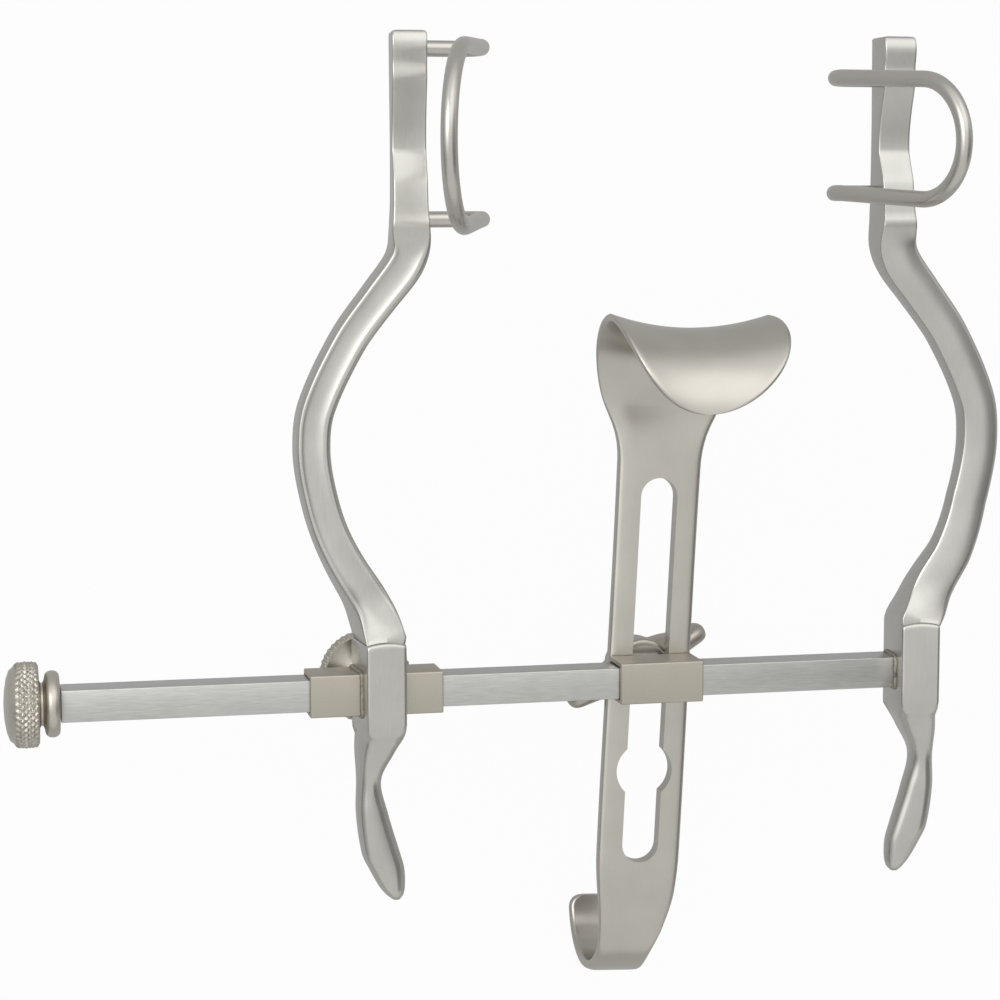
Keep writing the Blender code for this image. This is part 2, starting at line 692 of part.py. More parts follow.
def end_knob(finishes, parent):
    """Knurled end knob with its neck and collar, and the shank that screws into the bar."""
    face = BAR_LEFT_LENGTH + SEAT_GAP
    radius = KNOB_DIAMETER / 2
    collar = COLLAR_DIAMETER / 2
    neck = KNOB_NECK_DIAMETER / 2
    bore = KNOB_SHANK_DIAMETER / 2 + SEAT_GAP
    collar_end = face + COLLAR_LENGTH
    head_start = collar_end + KNOB_NECK_LENGTH
    head_end = head_start + KNOB_LENGTH
    profile = [
        (bore, head_end - 0.4),
        (bore, face),
        (collar - 1.0, face),
        (collar - 0.3, face + 0.35),
        (collar, face + COLLAR_LENGTH / 2),
        (collar - 0.3, collar_end - 0.35),
        (collar - 1.2, collar_end),
        (neck, collar_end + 0.2),
        (neck, head_start - 0.2),
        (radius - 0.9, head_start),
        (radius, head_start + 0.9),
        (radius, head_end - 1.1),
        (radius - 0.9, head_end),
        (radius - 3.0, head_end + KNOB_DOME * 0.6),
        (radius - 5.4, head_end + KNOB_DOME),
    ]
    bm = bmesh.new()
    sides = 36
    loops = []
    for r, x in profile:
        ring = []
        for k in range(sides):
            angle = 2 * math.pi * k / sides
            ring.append(bm.verts.new((-x, r * math.cos(angle), r * math.sin(angle))))
        loops.append(ring)
    for low, high in zip(loops, loops[1:]):
        for k in range(sides):
            n = (k + 1) % sides
            bm.faces.new((low[k], low[n], high[n], high[k]))
    bm.faces.new(loops[0])
    bm.faces.new(loops[-1])
    add_object("end_knob_head", to_mesh(bm, "end_knob_head"), finishes["knurled"], parent)
    shank = KNOB_SHANK_DIAMETER / 2
    rod = [
        (shank - 0.3, -(head_end - 0.4 - SEAT_GAP)),
        (shank, -(head_end - 0.9 - SEAT_GAP)),
        (shank, -(BAR_LEFT_LENGTH - KNOB_SHANK_LENGTH + 0.6)),
        (shank - 0.5, -(BAR_LEFT_LENGTH - KNOB_SHANK_LENGTH)),
    ]
    bm = turned(rod, 20)
    bmesh.ops.rotate(bm, matrix=Matrix.Rotation(math.pi / 2, 3, "Y"), verts=bm.verts)
    add_object("end_knob_shank", to_mesh(bm, "end_knob_shank"), finishes["polished"], parent)


def shank_half_width(v):
    """Half width of the centre blade at height v on its own axis."""
    rows = [
        (-HOOK_BOTTOM, HOOK_WIDTH / 2),
        (-HOOK_BOTTOM + 6.0, HOOK_WIDTH / 2),
        (-HOOK_BOTTOM + 12.0, HOOK_WIDTH / 2 + 1.1),
        (-HOOK_BOTTOM + 19.0, SHANK_WIDTH / 2 - 0.5),
        (-HOOK_TAPER_START, SHANK_WIDTH / 2),
        (FLARE_START, SHANK_WIDTH / 2),
        (FLARE_START + 6.0, SHANK_WIDTH / 2 + 0.9),
        (FLARE_START + 13.0, SHANK_WIDTH / 2 + 4.0),
        (FLARE_START + 20.6, SHANK_WIDTH / 2 + 6.2),
        (LIP_CREST, LIP_WIDTH / 2),
    ]
    return hermite(rows, v)[0]


def hook_drift(v):
    """How far the lower end has been drawn to the left at height v."""
    start, end = -HOOK_TAPER_START - 8.0, -HOOK_BOTTOM + HOOK_THICKNESS
    t = min(max((v - start) / (end - start), 0.0), 1.0)
    return HOOK_DRIFT * t * t * (3 - 2 * t)


def blade_stations():
    """Mid-surface stations of the centre blade from the hook's tongue to the lip's rim.

    Each is (centre point, normal towards the back, half width, thickness, share of the dish).
    In the hook that normal points at the middle of its bend.
    """
    stations = []
    hook_centre = Vector((0, -HOOK_BOTTOM + HOOK_THICKNESS / 2 + HOOK_RADIUS, SHANK_MID_Z - HOOK_RADIUS))
    corner = 2.5
    short = hook_centre.y + TONGUE_TOP
    for k in range(15):
        bite = short + corner * (1 - math.cos(0.5 * math.pi * min(k, 3) / 3))
        angle = math.asin(bite / HOOK_RADIUS)
        if k > 3:
            angle += (math.pi - angle) * (k - 3) / 11
        normal = Vector((0, -math.sin(angle), -math.cos(angle)))
        point = hook_centre + normal * HOOK_RADIUS
        share = min(2 * angle / math.pi, 1.0)
        half = TONGUE_WIDTH / 2 + (HOOK_WIDTH - TONGUE_WIDTH) / 2 * share
        if angle > 0.5 * math.pi:
            half = shank_half_width(point.y)
        if k < 3:
            half -= corner * (1 - math.sin(0.5 * math.pi * k / 3))
        drift = HOOK_DRIFT if angle < 0.5 * math.pi else hook_drift(point.y)
        stations.append((point - Vector((drift, 0, 0)), -normal, half, HOOK_THICKNESS, 0))
    start = hook_centre.y
    top = LIP_CREST - LIP_RADIUS
    runs = 20
    for k in range(1, runs):
        y = start + (top - start) * k / runs
        ease = min(max((y - start) / 12.0, 0.0), 1.0)
        thick = HOOK_THICKNESS + (SHANK_THICKNESS - HOOK_THICKNESS) * ease
        fade = min(max((y - FLARE_START) / (top - FLARE_START), 0.0), 1.0)
        thick += (LIP_THICKNESS + 0.6 - SHANK_THICKNESS) * fade
        middle = SHANK_FRONT_Z - thick / 2
        middle += (SHANK_MID_Z - middle) * (1 - ease)
        point = Vector((-hook_drift(y), y, middle))
        stations.append((point, Vector((0, 0, -1)), shank_half_width(y), thick, 0))
    lip_centre = Vector((0, top, SHANK_MID_Z + LIP_RADIUS))
    for k in range(25):
        sweep = 0.5 * math.pi * (k - 12) / 12 * 0.94
        angle = 0.5 * math.pi * k / 12 if k <= 12 else 0.5 * math.pi * (1 + 0.96 * math.sin(sweep) ** 0.9)
        normal = Vector((0, math.sin(angle), -math.cos(angle)))
        point = lip_centre + normal * LIP_RADIUS
        half = shank_half_width(point.y) if k <= 12 else LIP_WIDTH / 2 * math.cos(sweep)
        dish = min(angle / (math.pi / 2), 1.0) ** 1.5
        thin = min(angle / 1.0, 1.0)
        thick = LIP_THICKNESS + 0.6 * (1 - thin)
        stations.append((point, normal, half, thick, dish))
    return stations


def centre_blade(finishes, parent):
    """The slotted centre blade, hooked below and dished into a saddle lip above."""
    columns = 12
    bm = bmesh.new()
    grids = []
    for face in (1, -1):
        grid = []
        for point, normal, half, thick, dish in blade_stations():
            row = []
            for c in range(columns + 1):
                u = half * math.sin(math.pi * (c / columns - 0.5))
                rise = dish * LIP_DISH * (u / (LIP_WIDTH / 2)) ** 2
                edge = 1.0 if 0 < c < columns else 0.72
                fuller = LIP_FULL_SIDE * max(u, 0.0) / half * 2 * max(normal.z, 0.0) * max(normal.y, 0.0)
                skewed = Vector((u + fuller, u * dish * math.tan(LIP_SKEW), 0))
                row.append(bm.verts.new(point + skewed + normal * (rise + face * edge * thick / 2)))
            grid.append(row)
        grids.append(grid)
    outer, inner = grids
    rows = len(outer)
    for i in range(rows - 1):
        for c in range(columns):
            bm.faces.new((outer[i][c], outer[i][c + 1], outer[i + 1][c + 1], outer[i + 1][c]))
            bm.faces.new((inner[i][c], inner[i + 1][c], inner[i + 1][c + 1], inner[i][c + 1]))
        for c in (0, columns):
            bm.faces.new((outer[i][c], outer[i + 1][c], inner[i + 1][c], inner[i][c]))
    for i in (0, rows - 1):
        for c in range(columns):
            bm.faces.new((outer[i][c], inner[i][c], inner[i][c + 1], outer[i][c + 1]))
    result = add_object("centre_blade", to_mesh(bm, "centre_blade"), finishes["satin"], parent)
    cutter = add_object("slot_cutter", to_mesh(slot_outline(), "slot_cutter"), parent=parent, helper=True)
    cut(result, cutter, "slot")
    return result


def slot_outline():
    """The slot with round ends and the keyhole part way down, as an extruded outline."""
    half = SLOT_WIDTH / 2
    hole = KEYHOLE_DIAMETER / 2
    join = math.asin(half / hole)
    points = []
    for k in range(9):
        angle = math.pi * k / 8
        points.append((half * math.cos(angle), SLOT_TOP - half + half * math.sin(angle)))
    for k in range(9):
        angle = 0.5 * math.pi + join + (math.pi - 2 * join) * k / 8
        points.append((hole * math.cos(angle), -KEYHOLE_DROP + hole * math.sin(angle)))
    for k in range(9):
        angle = math.pi + math.pi * k / 8
        points.append((half * math.cos(angle), -SLOT_BOTTOM + half + half * math.sin(angle)))
    for k in range(9):
        angle = -0.5 * math.pi + join + (math.pi - 2 * join) * k / 8
        points.append((hole * math.cos(angle), -KEYHOLE_DROP + hole * math.sin(angle)))
    low, high = SHANK_FRONT_Z - SHANK_THICKNESS - 4.0, SHANK_FRONT_Z + 4.0
    return loft([[(x, y, low) for x, y in points], [(x, y, high) for x, y in points]])


def clamp(finishes, carriage, washer_parent, nut_parent):
    """Stud with its square guide, washer and wing nut behind the centre blade."""
    radius = STUD_DIAMETER / 2
    top = -SLEEVE_HALF_DEPTH - 0.05
    guide_end = SHANK_FRONT_Z - SHANK_THICKNESS + 0.1
    half = GUIDE_WIDTH / 2
    guide = block((-half, -half, guide_end), (half, half, top), 0.3)
    stud = add_object("clamp_stud", to_mesh(guide, "clamp_stud"), finishes["polished"], carriage)
    end = guide_end - STUD_LENGTH + 1.0
    rod = turned([(radius - 0.5, end), (radius, end + 0.6), (radius, guide_end + 1.0)], 20)
    rod_helper = add_object("stud_rod_helper", to_mesh(rod, "stud_rod"), parent=carriage, helper=True)
    joined(stud, rod_helper, "rod")
    bore = radius + THREAD_GAP
    washer = ring_solid(
        [
            (bore, WASHER_FRONT_Z - WASHER_THICKNESS),
            (WASHER_DIAMETER / 2, WASHER_FRONT_Z - WASHER_THICKNESS),
            (WASHER_DIAMETER / 2, WASHER_FRONT_Z),
            (bore, WASHER_FRONT_Z),
        ],
        28,
    )
    add_object("clamp_washer", to_mesh(washer, "clamp_washer"), finishes["polished"], washer_parent)
    wing_nut(finishes, nut_parent, bore)


def wing_nut(finishes, parent, bore):
    """Wing nut: a tapered hub and two wings that rise away from the blade."""
    hub_low = NUT_FRONT_Z - NUT_HUB_HEIGHT
    base, top = NUT_HUB_DIAMETER / 2, NUT_HUB_TOP_DIAMETER / 2
    hub = turned(
        [(top - 0.5, hub_low), (top, hub_low + 0.5), (base, NUT_FRONT_Z - 1.6), (base, NUT_FRONT_Z)], 28
    )
    nut = add_object("wing_nut", to_mesh(hub, "wing_nut"), finishes["blasted"], parent)
    for side, label in ((1, "upper"), (-1, "lower")):
        wing = wing_solid(side)
        shape = to_mesh(wing, f"{label}_wing")
        helper = add_object(f"{label}_wing_helper", shape, parent=parent, helper=True)
        joined(nut, helper, f"{label}_wing")
    drill = round_cutter("nut_bore_cutter", bore, hub_low - 14.0, NUT_FRONT_Z + 2.0, "Z", parent)
    cut(nut, drill, "bore")
    return nut


def wing_solid(side):
    """One wing of the nut, lofted outwards from inside the hub to its rounded tip."""
    reach = NUT_SPAN / 2
    base_z = NUT_FRONT_Z - NUT_HUB_HEIGHT / 2
    root = NUT_HUB_TOP_DIAMETER / 2 - 2.2
    rows = [
        (root, NUT_WING_RISE * 0.4, NUT_WING_WIDTH * 0.95, NUT_WING_THICKNESS * 2.3),
        (reach * 0.45, NUT_WING_RISE * 0.7, NUT_WING_WIDTH, NUT_WING_THICKNESS * 1.7),
        (reach * 0.62, NUT_WING_RISE * 0.9, NUT_WING_WIDTH * 0.96, NUT_WING_THICKNESS * 1.15),
        (reach * 0.78, NUT_WING_RISE, NUT_WING_WIDTH * 0.86, NUT_WING_THICKNESS),
        (reach - 1.4, NUT_WING_RISE * 0.95, NUT_WING_WIDTH * 0.68, NUT_WING_THICKNESS * 0.95),
        (reach - 0.4, NUT_WING_RISE * 0.9, NUT_WING_WIDTH * 0.48, NUT_WING_THICKNESS * 0.75),
        (reach, NUT_WING_RISE * 0.9, NUT_WING_WIDTH * 0.26, NUT_WING_THICKNESS * 0.42),
    ]
    rings = []
    for k in range(13):
        t = k / 12 * (len(rows) - 1)
        i = min(int(t), len(rows) - 2)
        f = t - i
        out, rise, width, thick = (a + (b - a) * f for a, b in zip(rows[i], rows[i + 1]))
        section = rounded_section(thick / 2, width / 2, width / 2, thick * 0.48)
        ring = []
        for across, depth in section:
            x, y = side * out, side * across
            c, s = math.cos(NUT_ANGLE), math.sin(NUT_ANGLE)
            ring.append((x * c - y * s, x * s + y * c, base_z - rise + depth))
        rings.append(ring)
    return loft(rings)


def set_down(root):
    """Moves the root so that the origin is under the middle of the instrument, on its lowest point."""
    bpy.context.view_layer.update()
    graph = bpy.context.evaluated_depsgraph_get()
    points = []
    for item in bpy.context.scene.objects:
        if item.type != "MESH" or item.hide_render:
            continue
        shape = item.evaluated_get(graph)
        points += [shape.matrix_world @ v.co for v in shape.data.vertices]
    low = [min(p[k] for p in points) for k in range(3)]
    high = [max(p[k] for p in points) for k in range(3)]
    root.location = (-(low[0] + high[0]) / 2, -(low[1] + high[1]) / 2, -low[2])


def main():
    for item in list(bpy.data.objects):
        bpy.data.objects.remove(item, do_unlink=True)
    finishes = {
        "brushed": material("brushed_bar", (0.60, 0.60, 0.58), 0.34),
        "blasted": material("blasted_sleeve", (0.44, 0.42, 0.38), 0.48),
        "forged": material("satin_forging", (0.50, 0.49, 0.46), 0.36),
        "satin": material("satin_blade", (0.50, 0.48, 0.44), 0.36),
        "polished": material("polished_wire", (0.52, 0.51, 0.48), 0.30),
        "knurled": material("knurled_screw", (0.45, 0.43, 0.39), 0.42),
        "braze": material("braze_bead", (0.40, 0.38, 0.34), 0.55),
    }
    root = empty("instrument", (0, 0, 0))
    slide = empty("slide_carriage", (0, 0, 0), root)
    crossbar(finishes["brushed"], root)
    seat = screw_seat(slide)
    sliding_side(finishes, slide, seat)
    thumb_screw(finishes, seat)
    end_knob(finishes, root)
    fixed_side(finishes, empty("fixed_end", (ARM_SPACING, 0, 0), root))
    carriage = empty("centre_carriage", (CENTRE_SLEEVE_X, 0, 0), root)
    half = CENTRE_SLEEVE_LENGTH / 2
    sleeve("centre_sleeve", -half, half, finishes["blasted"], carriage)
    tilted = empty("blade_tilt", (0, 0, 0), carriage, (0, 0, -BLADE_LEAN))
    nut = empty("nut_turn", (0, 0, 0), carriage)
    clamp(finishes, carriage, tilted, nut)
    centre_blade(finishes, tilted)
    set_down(root)


main()
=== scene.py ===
"""The looks of a self-retaining abdominal retractor in satin steel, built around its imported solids.

Sizes are millimetres in the instrument's own axes: X along the crossbar from the middle of the
sliding boss, Y from the handles to the arm tips, Z towards the front, with the bar's axis at
Y = Z = 0. Placement turns them into the metres of the shared frame.
"""

import logging
import math
from collections.abc import Callable, Sequence
from dataclasses import dataclass, field
from enum import Enum

import bmesh
import bpy
from mathutils import Matrix, Vector, noise


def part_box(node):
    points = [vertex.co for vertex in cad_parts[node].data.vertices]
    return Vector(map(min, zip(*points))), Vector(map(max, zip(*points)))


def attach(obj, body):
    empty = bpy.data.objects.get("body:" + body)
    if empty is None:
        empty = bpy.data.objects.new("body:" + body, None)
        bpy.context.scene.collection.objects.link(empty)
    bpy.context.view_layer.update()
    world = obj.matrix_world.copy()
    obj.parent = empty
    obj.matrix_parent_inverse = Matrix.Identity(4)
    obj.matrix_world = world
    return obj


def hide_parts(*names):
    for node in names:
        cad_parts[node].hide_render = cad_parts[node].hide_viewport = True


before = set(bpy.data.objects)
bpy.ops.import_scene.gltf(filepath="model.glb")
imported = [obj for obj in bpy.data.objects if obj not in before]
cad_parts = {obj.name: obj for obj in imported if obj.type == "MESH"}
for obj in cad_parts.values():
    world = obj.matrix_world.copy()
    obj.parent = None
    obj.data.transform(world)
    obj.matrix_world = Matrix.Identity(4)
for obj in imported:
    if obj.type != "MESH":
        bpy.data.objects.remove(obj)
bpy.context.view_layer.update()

Outline = list[tuple[float, float]]
Ring = list[Vector]
Row = tuple[float, ...]

LOG = logging.getLogger("retractor")
MM = 0.001
QUARTER = 0.5 * math.pi
FIXED_BOSS_X = 106.4
BOSS_TURN = math.radians(4.6)
BOSS_MIDDLE_Z = 1.35
BAR_HALF = (3.0, 3.5)
SLEEVE_HALF = (4.0, 4.5)
THREAD_ANGLE = 30.0
PLAIN_ANGLE = 32.0
CRISP_ANGLE = 40.0
WIRE_ANGLE = 50.0
ROUGH_ANGLE = 60.0
FRONT_STEPS = 30


class Body(Enum):
    """The moving groups of the instrument, by their names in the record."""

    BAR = "bar"
    KNOB = "knob"
    SLIDING_SIDE = "sliding_side"
    THUMB_SCREW = "thumb_screw"
    CARRIAGE = "carriage"
    NUT = "nut"
    WASHER = "washer"
    BLADE = "blade"


class Grain(Enum):
    """The direction in which a surface was worked."""

    ALONG_X = (0.05, 1.0, 1.0)
    ALONG_Y = (1.0, 0.05, 1.0)
    NONE = (1.0, 1.0, 1.0)


class NodeTree:
    """Adds nodes to the tree of a material or a world and joins them."""

    def __init__(self, owner: bpy.types.Material | bpy.types.World) -> None:
        """Switches the owner to nodes and keeps its tree."""
        owner.use_nodes = True
        self.tree = owner.node_tree

    def feed(self, node: bpy.types.Node, inputs: dict[str | int, object]) -> None:
        """Joins output sockets to a node's inputs, or sets the inputs' values.

        Args:
            node: The node.
            inputs: A socket or a value for each input, by its name or number.
        """
        for key, value in inputs.items():
            if isinstance(value, bpy.types.NodeSocket):
                self.tree.links.new(value, node.inputs[key])
            else:
                node.inputs[key].default_value = value

    def add(
        self, kind: str, inputs: dict[str | int, object], out: int | str = 0, **settings: str
    ) -> bpy.types.NodeSocket:
        """Adds a node.

        Args:
            kind: Its type, without the word ShaderNode.
            inputs: What feed gives it.
            out: The output that is used.
            settings: Its own settings, such as its operation.

        Returns:
            That output.
        """
        node = self.tree.nodes.new("ShaderNode" + kind)
        for name, value in settings.items():
            setattr(node, name, value)
        self.feed(node, inputs)
        return node.outputs[out]


@dataclass(frozen=True)
class SteelFinish:
    """A worked steel surface: its colour, gloss, grain and unevenness, with sizes in mm."""

    name: str
    slot: str
    colour: tuple[float, float, float]
    roughness: float
    grain: Grain = Grain.NONE
    grain_size: float = 0.25
    grain_depth: float = 0.0
    roughness_swing: float = 0.06
    mottle: float = 0.05
    mottle_size: float = 9.0
    streak: float = 0.0

    def build(self) -> bpy.types.Material:
        """Makes the node material of this finish.

        Returns:
            The material, with a grain that scatters gloss and a faint drift of colour.
        """
        material = bpy.data.materials.new(self.name)
        tree = NodeTree(material)
        place = tree.add("TexCoord", {}, "Object")
        scale = [share / (self.grain_size * MM) for share in self.grain.value]
        stretched = tree.add("Mapping", {"Vector": place, "Scale": scale})
        fine = tree.add("TexNoise", {"Vector": stretched, "Scale": 1.0, "Detail": 2.0}, "Fac")
        low, high = self.roughness - self.roughness_swing, self.roughness + self.roughness_swing
        gloss = tree.add("MapRange", {"Value": fine, "To Min": low, "To Max": high})
        broad_scale = 1.0 / (self.mottle_size * MM)
        broad = tree.add("TexNoise", {"Vector": place, "Scale": broad_scale, "Detail": 3.0}, "Fac")
        dark, light = ((*[c * (1 + sign * self.mottle) for c in self.colour], 1.0) for sign in (-1, 1))
        tint = tree.add("Mix", {0: broad, 6: dark, 7: light}, 2, data_type="RGBA")
        ends = {"To Min": 1 - self.streak, "To Max": 1 + self.streak}
        worked = tree.add("MapRange", {"Value": fine, "From Min": 0.3, "From Max": 0.7, **ends})
        shade = tree.add("VectorMath", {0: tint, "Scale": worked}, operation="SCALE")
        surface = {"Metallic": 1.0, "Roughness": gloss, "Base Color": shade}
        if self.grain_depth:
            bumps = {"Strength": 1.0, "Distance": self.grain_depth * MM, "Height": fine}
            surface["Normal"] = tree.add("Bump", bumps)
        tree.feed(material.node_tree.nodes["Principled BSDF"], surface)
        return material


@dataclass(frozen=True)
class Placement:
    """Where the instrument's own axes lie in the shared frame."""

    shift: Vector

    @classmethod
    def from_crossbar(cls, left_length: float) -> "Placement":
        """Finds the bar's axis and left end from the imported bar.

        Args:
            left_length: How far the bar reaches left of the sliding boss, in mm.

        Returns:
            The placement.
        """
        low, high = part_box("crossbar")
        middle = (Vector(low) + Vector(high)) / 2 / MM
        return cls(Vector((low[0] / MM + left_length, middle.y, middle.z)))

    def matrix(self) -> Matrix:
        """The transform from instrument millimetres to scene metres."""
        return Matrix.Scale(MM, 4) @ Matrix.Translation(self.shift)


def to_mesh(bm: bmesh.types.BMesh, name: str) -> bpy.types.Mesh:
    """A mesh with the shape of a bmesh, which is freed."""
    mesh = bpy.data.meshes.new(name)
    bm.to_mesh(mesh)
    bm.free()
    return mesh


def linked(name: str, data: bpy.types.ID) -> bpy.types.Object:
    """A new object in the scene."""
    item = bpy.data.objects.new(name, data)
    bpy.context.scene.collection.objects.link(item)
    return item


def bake(piece: bpy.types.Object) -> bpy.types.Mesh:
    """Turns a piece's modifiers into its own new mesh, and returns that mesh."""
    bpy.context.view_layer.update()
    graph = bpy.context.evaluated_depsgraph_get()
    mesh = bpy.data.meshes.new_from_object(piece.evaluated_get(graph))
    piece.modifiers.clear()
    piece.data = mesh
    return mesh


@dataclass
class Maker:
    """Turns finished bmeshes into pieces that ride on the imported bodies."""

    placement: Placement
    materials: dict[str, bpy.types.Material] = field(default_factory=dict)

    def material(self, finish: SteelFinish) -> bpy.types.Material:
        """The material of a finish, made once."""
        if finish.name not in self.materials:
            self.materials[finish.name] = finish.build()
        return self.materials[finish.name]

    def piece(
        self,
        bm: bmesh.types.BMesh,
        name: str,
        body: Body,
        finish: SteelFinish,
        nodes: Sequence[str] = (),
        smooth_angle: float = PLAIN_ANGLE,
        seat: Matrix = Matrix.Identity(4),
    ) -> bpy.types.Object:
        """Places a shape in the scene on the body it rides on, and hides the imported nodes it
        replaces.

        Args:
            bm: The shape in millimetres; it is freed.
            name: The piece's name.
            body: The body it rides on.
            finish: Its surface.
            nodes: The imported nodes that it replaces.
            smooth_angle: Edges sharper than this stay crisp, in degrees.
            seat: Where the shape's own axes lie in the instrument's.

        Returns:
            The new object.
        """
        bmesh.ops.transform(bm, matrix=seat, verts=bm.verts)
        bmesh.ops.remove_doubles(bm, verts=bm.verts, dist=1e-4)
        bmesh.ops.recalc_face_normals(bm, faces=bm.faces)
        bmesh.ops.transform(bm, matrix=self.placement.matrix(), verts=bm.verts)
        mesh = to_mesh(bm, name)
        mesh.shade_smooth()
        mesh.set_sharp_from_angle(angle=math.radians(smooth_angle))
        mesh.materials.append(self.material(finish))
        result = linked(name, mesh)
        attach(result, body.value)
        if nodes:
            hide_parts(*nodes)
        LOG.info("%s rides on %s: %d faces", name, body.value, len(mesh.polygons))
        return result

    def cut(
        self, piece: bpy.types.Object, shape: bmesh.types.BMesh, seat: Matrix = Matrix.Identity(4)
    ) -> None:
        """Cuts a shape out of a finished piece and bakes the result into its mesh.

        Args:
            piece: The piece.
            shape: What is taken away, in millimetres; it is freed.
            seat: Where the shape's own axes lie in the instrument's.
        """
        bmesh.ops.transform(shape, matrix=self.placement.matrix() @ seat, verts=shape.verts)
        bmesh.ops.recalc_face_normals(shape, faces=shape.faces)
        tool = linked("cut_tool", to_mesh(shape, "cut_tool"))
        modifier = piece.modifiers.new("cut", "BOOLEAN")
        modifier.operation, modifier.solver, modifier.object = "DIFFERENCE", "EXACT", tool
        mesh = bake(piece)
        bpy.data.objects.remove(tool, do_unlink=True)
        mesh.shade_smooth()
        mesh.set_sharp_from_angle(angle=math.radians(CRISP_ANGLE))


def smooth_row(rows: Sequence[Row], t: float) -> Row:
    """Reads a table of (position, value, ...) rows at a position, with smooth slopes.

    Args:
        rows: The rows, in any order.
        t: The position.

    Returns:
        The values there.
    """
    rows = sorted(rows)
    if t <= rows[0][0]:
        return rows[0][1:]
    if t >= rows[-1][0]:
        return rows[-1][1:]
    k = max(i for i in range(len(rows) - 1) if rows[i][0] <= t)
    low, high = rows[k], rows[k + 1]
    before, after = rows[max(k - 1, 0)], rows[min(k + 2, len(rows) - 1)]
    span = high[0] - low[0]
    f = (t - low[0]) / span
    values = []
    for c in range(1, len(low)):
        slope_low = (high[c] - before[c]) / (high[0] - before[0])
        slope_high = (after[c] - low[c]) / (after[0] - low[0])
        values.append(
            (2 * f**3 - 3 * f**2 + 1) * low[c]
            + (f**3 - 2 * f**2 + f) * span * slope_low
            + (3 * f**2 - 2 * f**3) * high[c]
            + (f**3 - f**2) * span * slope_high
        )
    return tuple(values)


def held(t: float) -> float:
    """The value t, held between 0 and 1."""
    return min(max(t, 0.0), 1.0)


def ease(t: float) -> float:
    """Smoothstep of t, held between 0 and 1."""
    t = held(t)
    return t * t * (3 - 2 * t)


def rounded_section(
    size: tuple[float, float, float],
    corners: tuple[float, float, float],
    corner_steps: int = 4,
    side_steps: tuple[int, int] = (1, 1),
) -> Outline:
    """Outline of a bar's section with rounded corners, as (across, depth) pairs.

    Args:
        size: Half width, and how far it reaches to the front and to the back.
        corners: Radii of the front corner at +1, the front corner at -1 and both back corners.
        corner_steps: Segments per corner.
        side_steps: Segments along the front and along the back.

    Returns:
        The outline's points in order.
    """
    half, front, back = size
    most = min(half * 0.95, (front + back) * 0.48)
    plus, minus, behind = (min(radius, most) for radius in corners)
    spots = (
        (half - plus, front - plus, plus, 1),
        (-half + minus, front - minus, minus, side_steps[0]),
        (-half + behind, -back + behind, behind, 1),
        (half - behind, -back + behind, behind, side_steps[1]),
    )
    points: Outline = []
    for index, (across, depth, radius, steps) in enumerate(spots):
        turns = [QUARTER * (index + step / corner_steps) for step in range(corner_steps + 1)]
        arc = [(across + radius * math.cos(turn), depth + radius * math.sin(turn)) for turn in turns]
        if steps > 1:
            (a0, d0), (a1, d1) = points[-1], arc[0]
            shares = [k / steps for k in range(1, steps)]
            points += [(a0 + (a1 - a0) * share, d0 + (d1 - d0) * share) for share in shares]
        points += arc
    return points


def shaped_section(
    size: tuple[float, float, float],
    corners: tuple[float, float, float],
    lift: Callable[[float], float],
) -> Outline:
    """Outline of a forged bar whose front face rises and falls across its width.

    Args:
        size: Half width, and how far it reaches to the front and to the back.
        corners: Radii as for rounded_section.
        lift: Height of the front over its plain depth, at -1 to 1 across.

    Returns:
        The outline's points in order, as (across, depth).
    """
    half, front, back = size
    shaped = []
    for across, depth in rounded_section(size, corners, side_steps=(FRONT_STEPS, 1)):
        share = max((depth + back) / (front + back), 0.0) ** 3
        shaped.append((across, depth + lift(across / half) * share))
    return shaped


def sweep(rings: Sequence[Ring], caps: bool = True) -> bmesh.types.BMesh:
    """Extrudes a ring of edges from one section to the next.

    Args:
        rings: Sections with the same number of points.
        caps: Whether both ends are closed.

    Returns:
        The swept shape.
    """
    bm = bmesh.new()
    count = len(rings[0])
    bmesh.ops.create_circle(bm, cap_ends=False, segments=count, radius=1.0)
    loop = list(bm.verts)
    edges, ends = [], []
    for index, ring in enumerate(rings):
        if index:
            grown = bmesh.ops.extrude_edge_only(bm, edges=edges)
            fresh = {item for item in grown["geom"] if isinstance(item, bmesh.types.BMVert)}
            beside = [[edge.other_vert(vert) for edge in vert.link_edges] for vert in loop]
            loop = [next(vert for vert in around if vert in fresh) for around in beside]
        for vert, point in zip(loop, ring):
            vert.co = point
        edges = [bm.edges.get((loop[i], loop[(i + 1) % count])) for i in range(count)]
        if index in (0, len(rings) - 1):
            ends.append(edges)
    if caps:
        for edges in ends:
            bmesh.ops.contextual_create(bm, geom=edges)
    return bm


def lathe(profile: Outline, steps: int, closed: bool = False) -> bmesh.types.BMesh:
    """Spins a profile about Z.

    Args:
        profile: (radius, height) pairs.
        steps: Steps of a full turn.
        closed: Whether the profile's last point joins its first.

    Returns:
        The turned shape.
    """
    bm = bmesh.new()
    verts = [bm.verts.new((radius, 0.0, height)) for radius, height in profile]
    pairs = list(zip(verts, verts[1:]))
    if closed:
        pairs.append((verts[-1], verts[0]))
    edges = [bm.edges.new(pair) for pair in pairs]
    bmesh.ops.spin(
        bm, geom=verts + edges, cent=(0, 0, 0), axis=(0, 0, 1), angle=2 * math.pi,
        steps=steps, use_merge=True,
    )
    bmesh.ops.remove_doubles(bm, verts=bm.verts, dist=1e-4)
    return bm


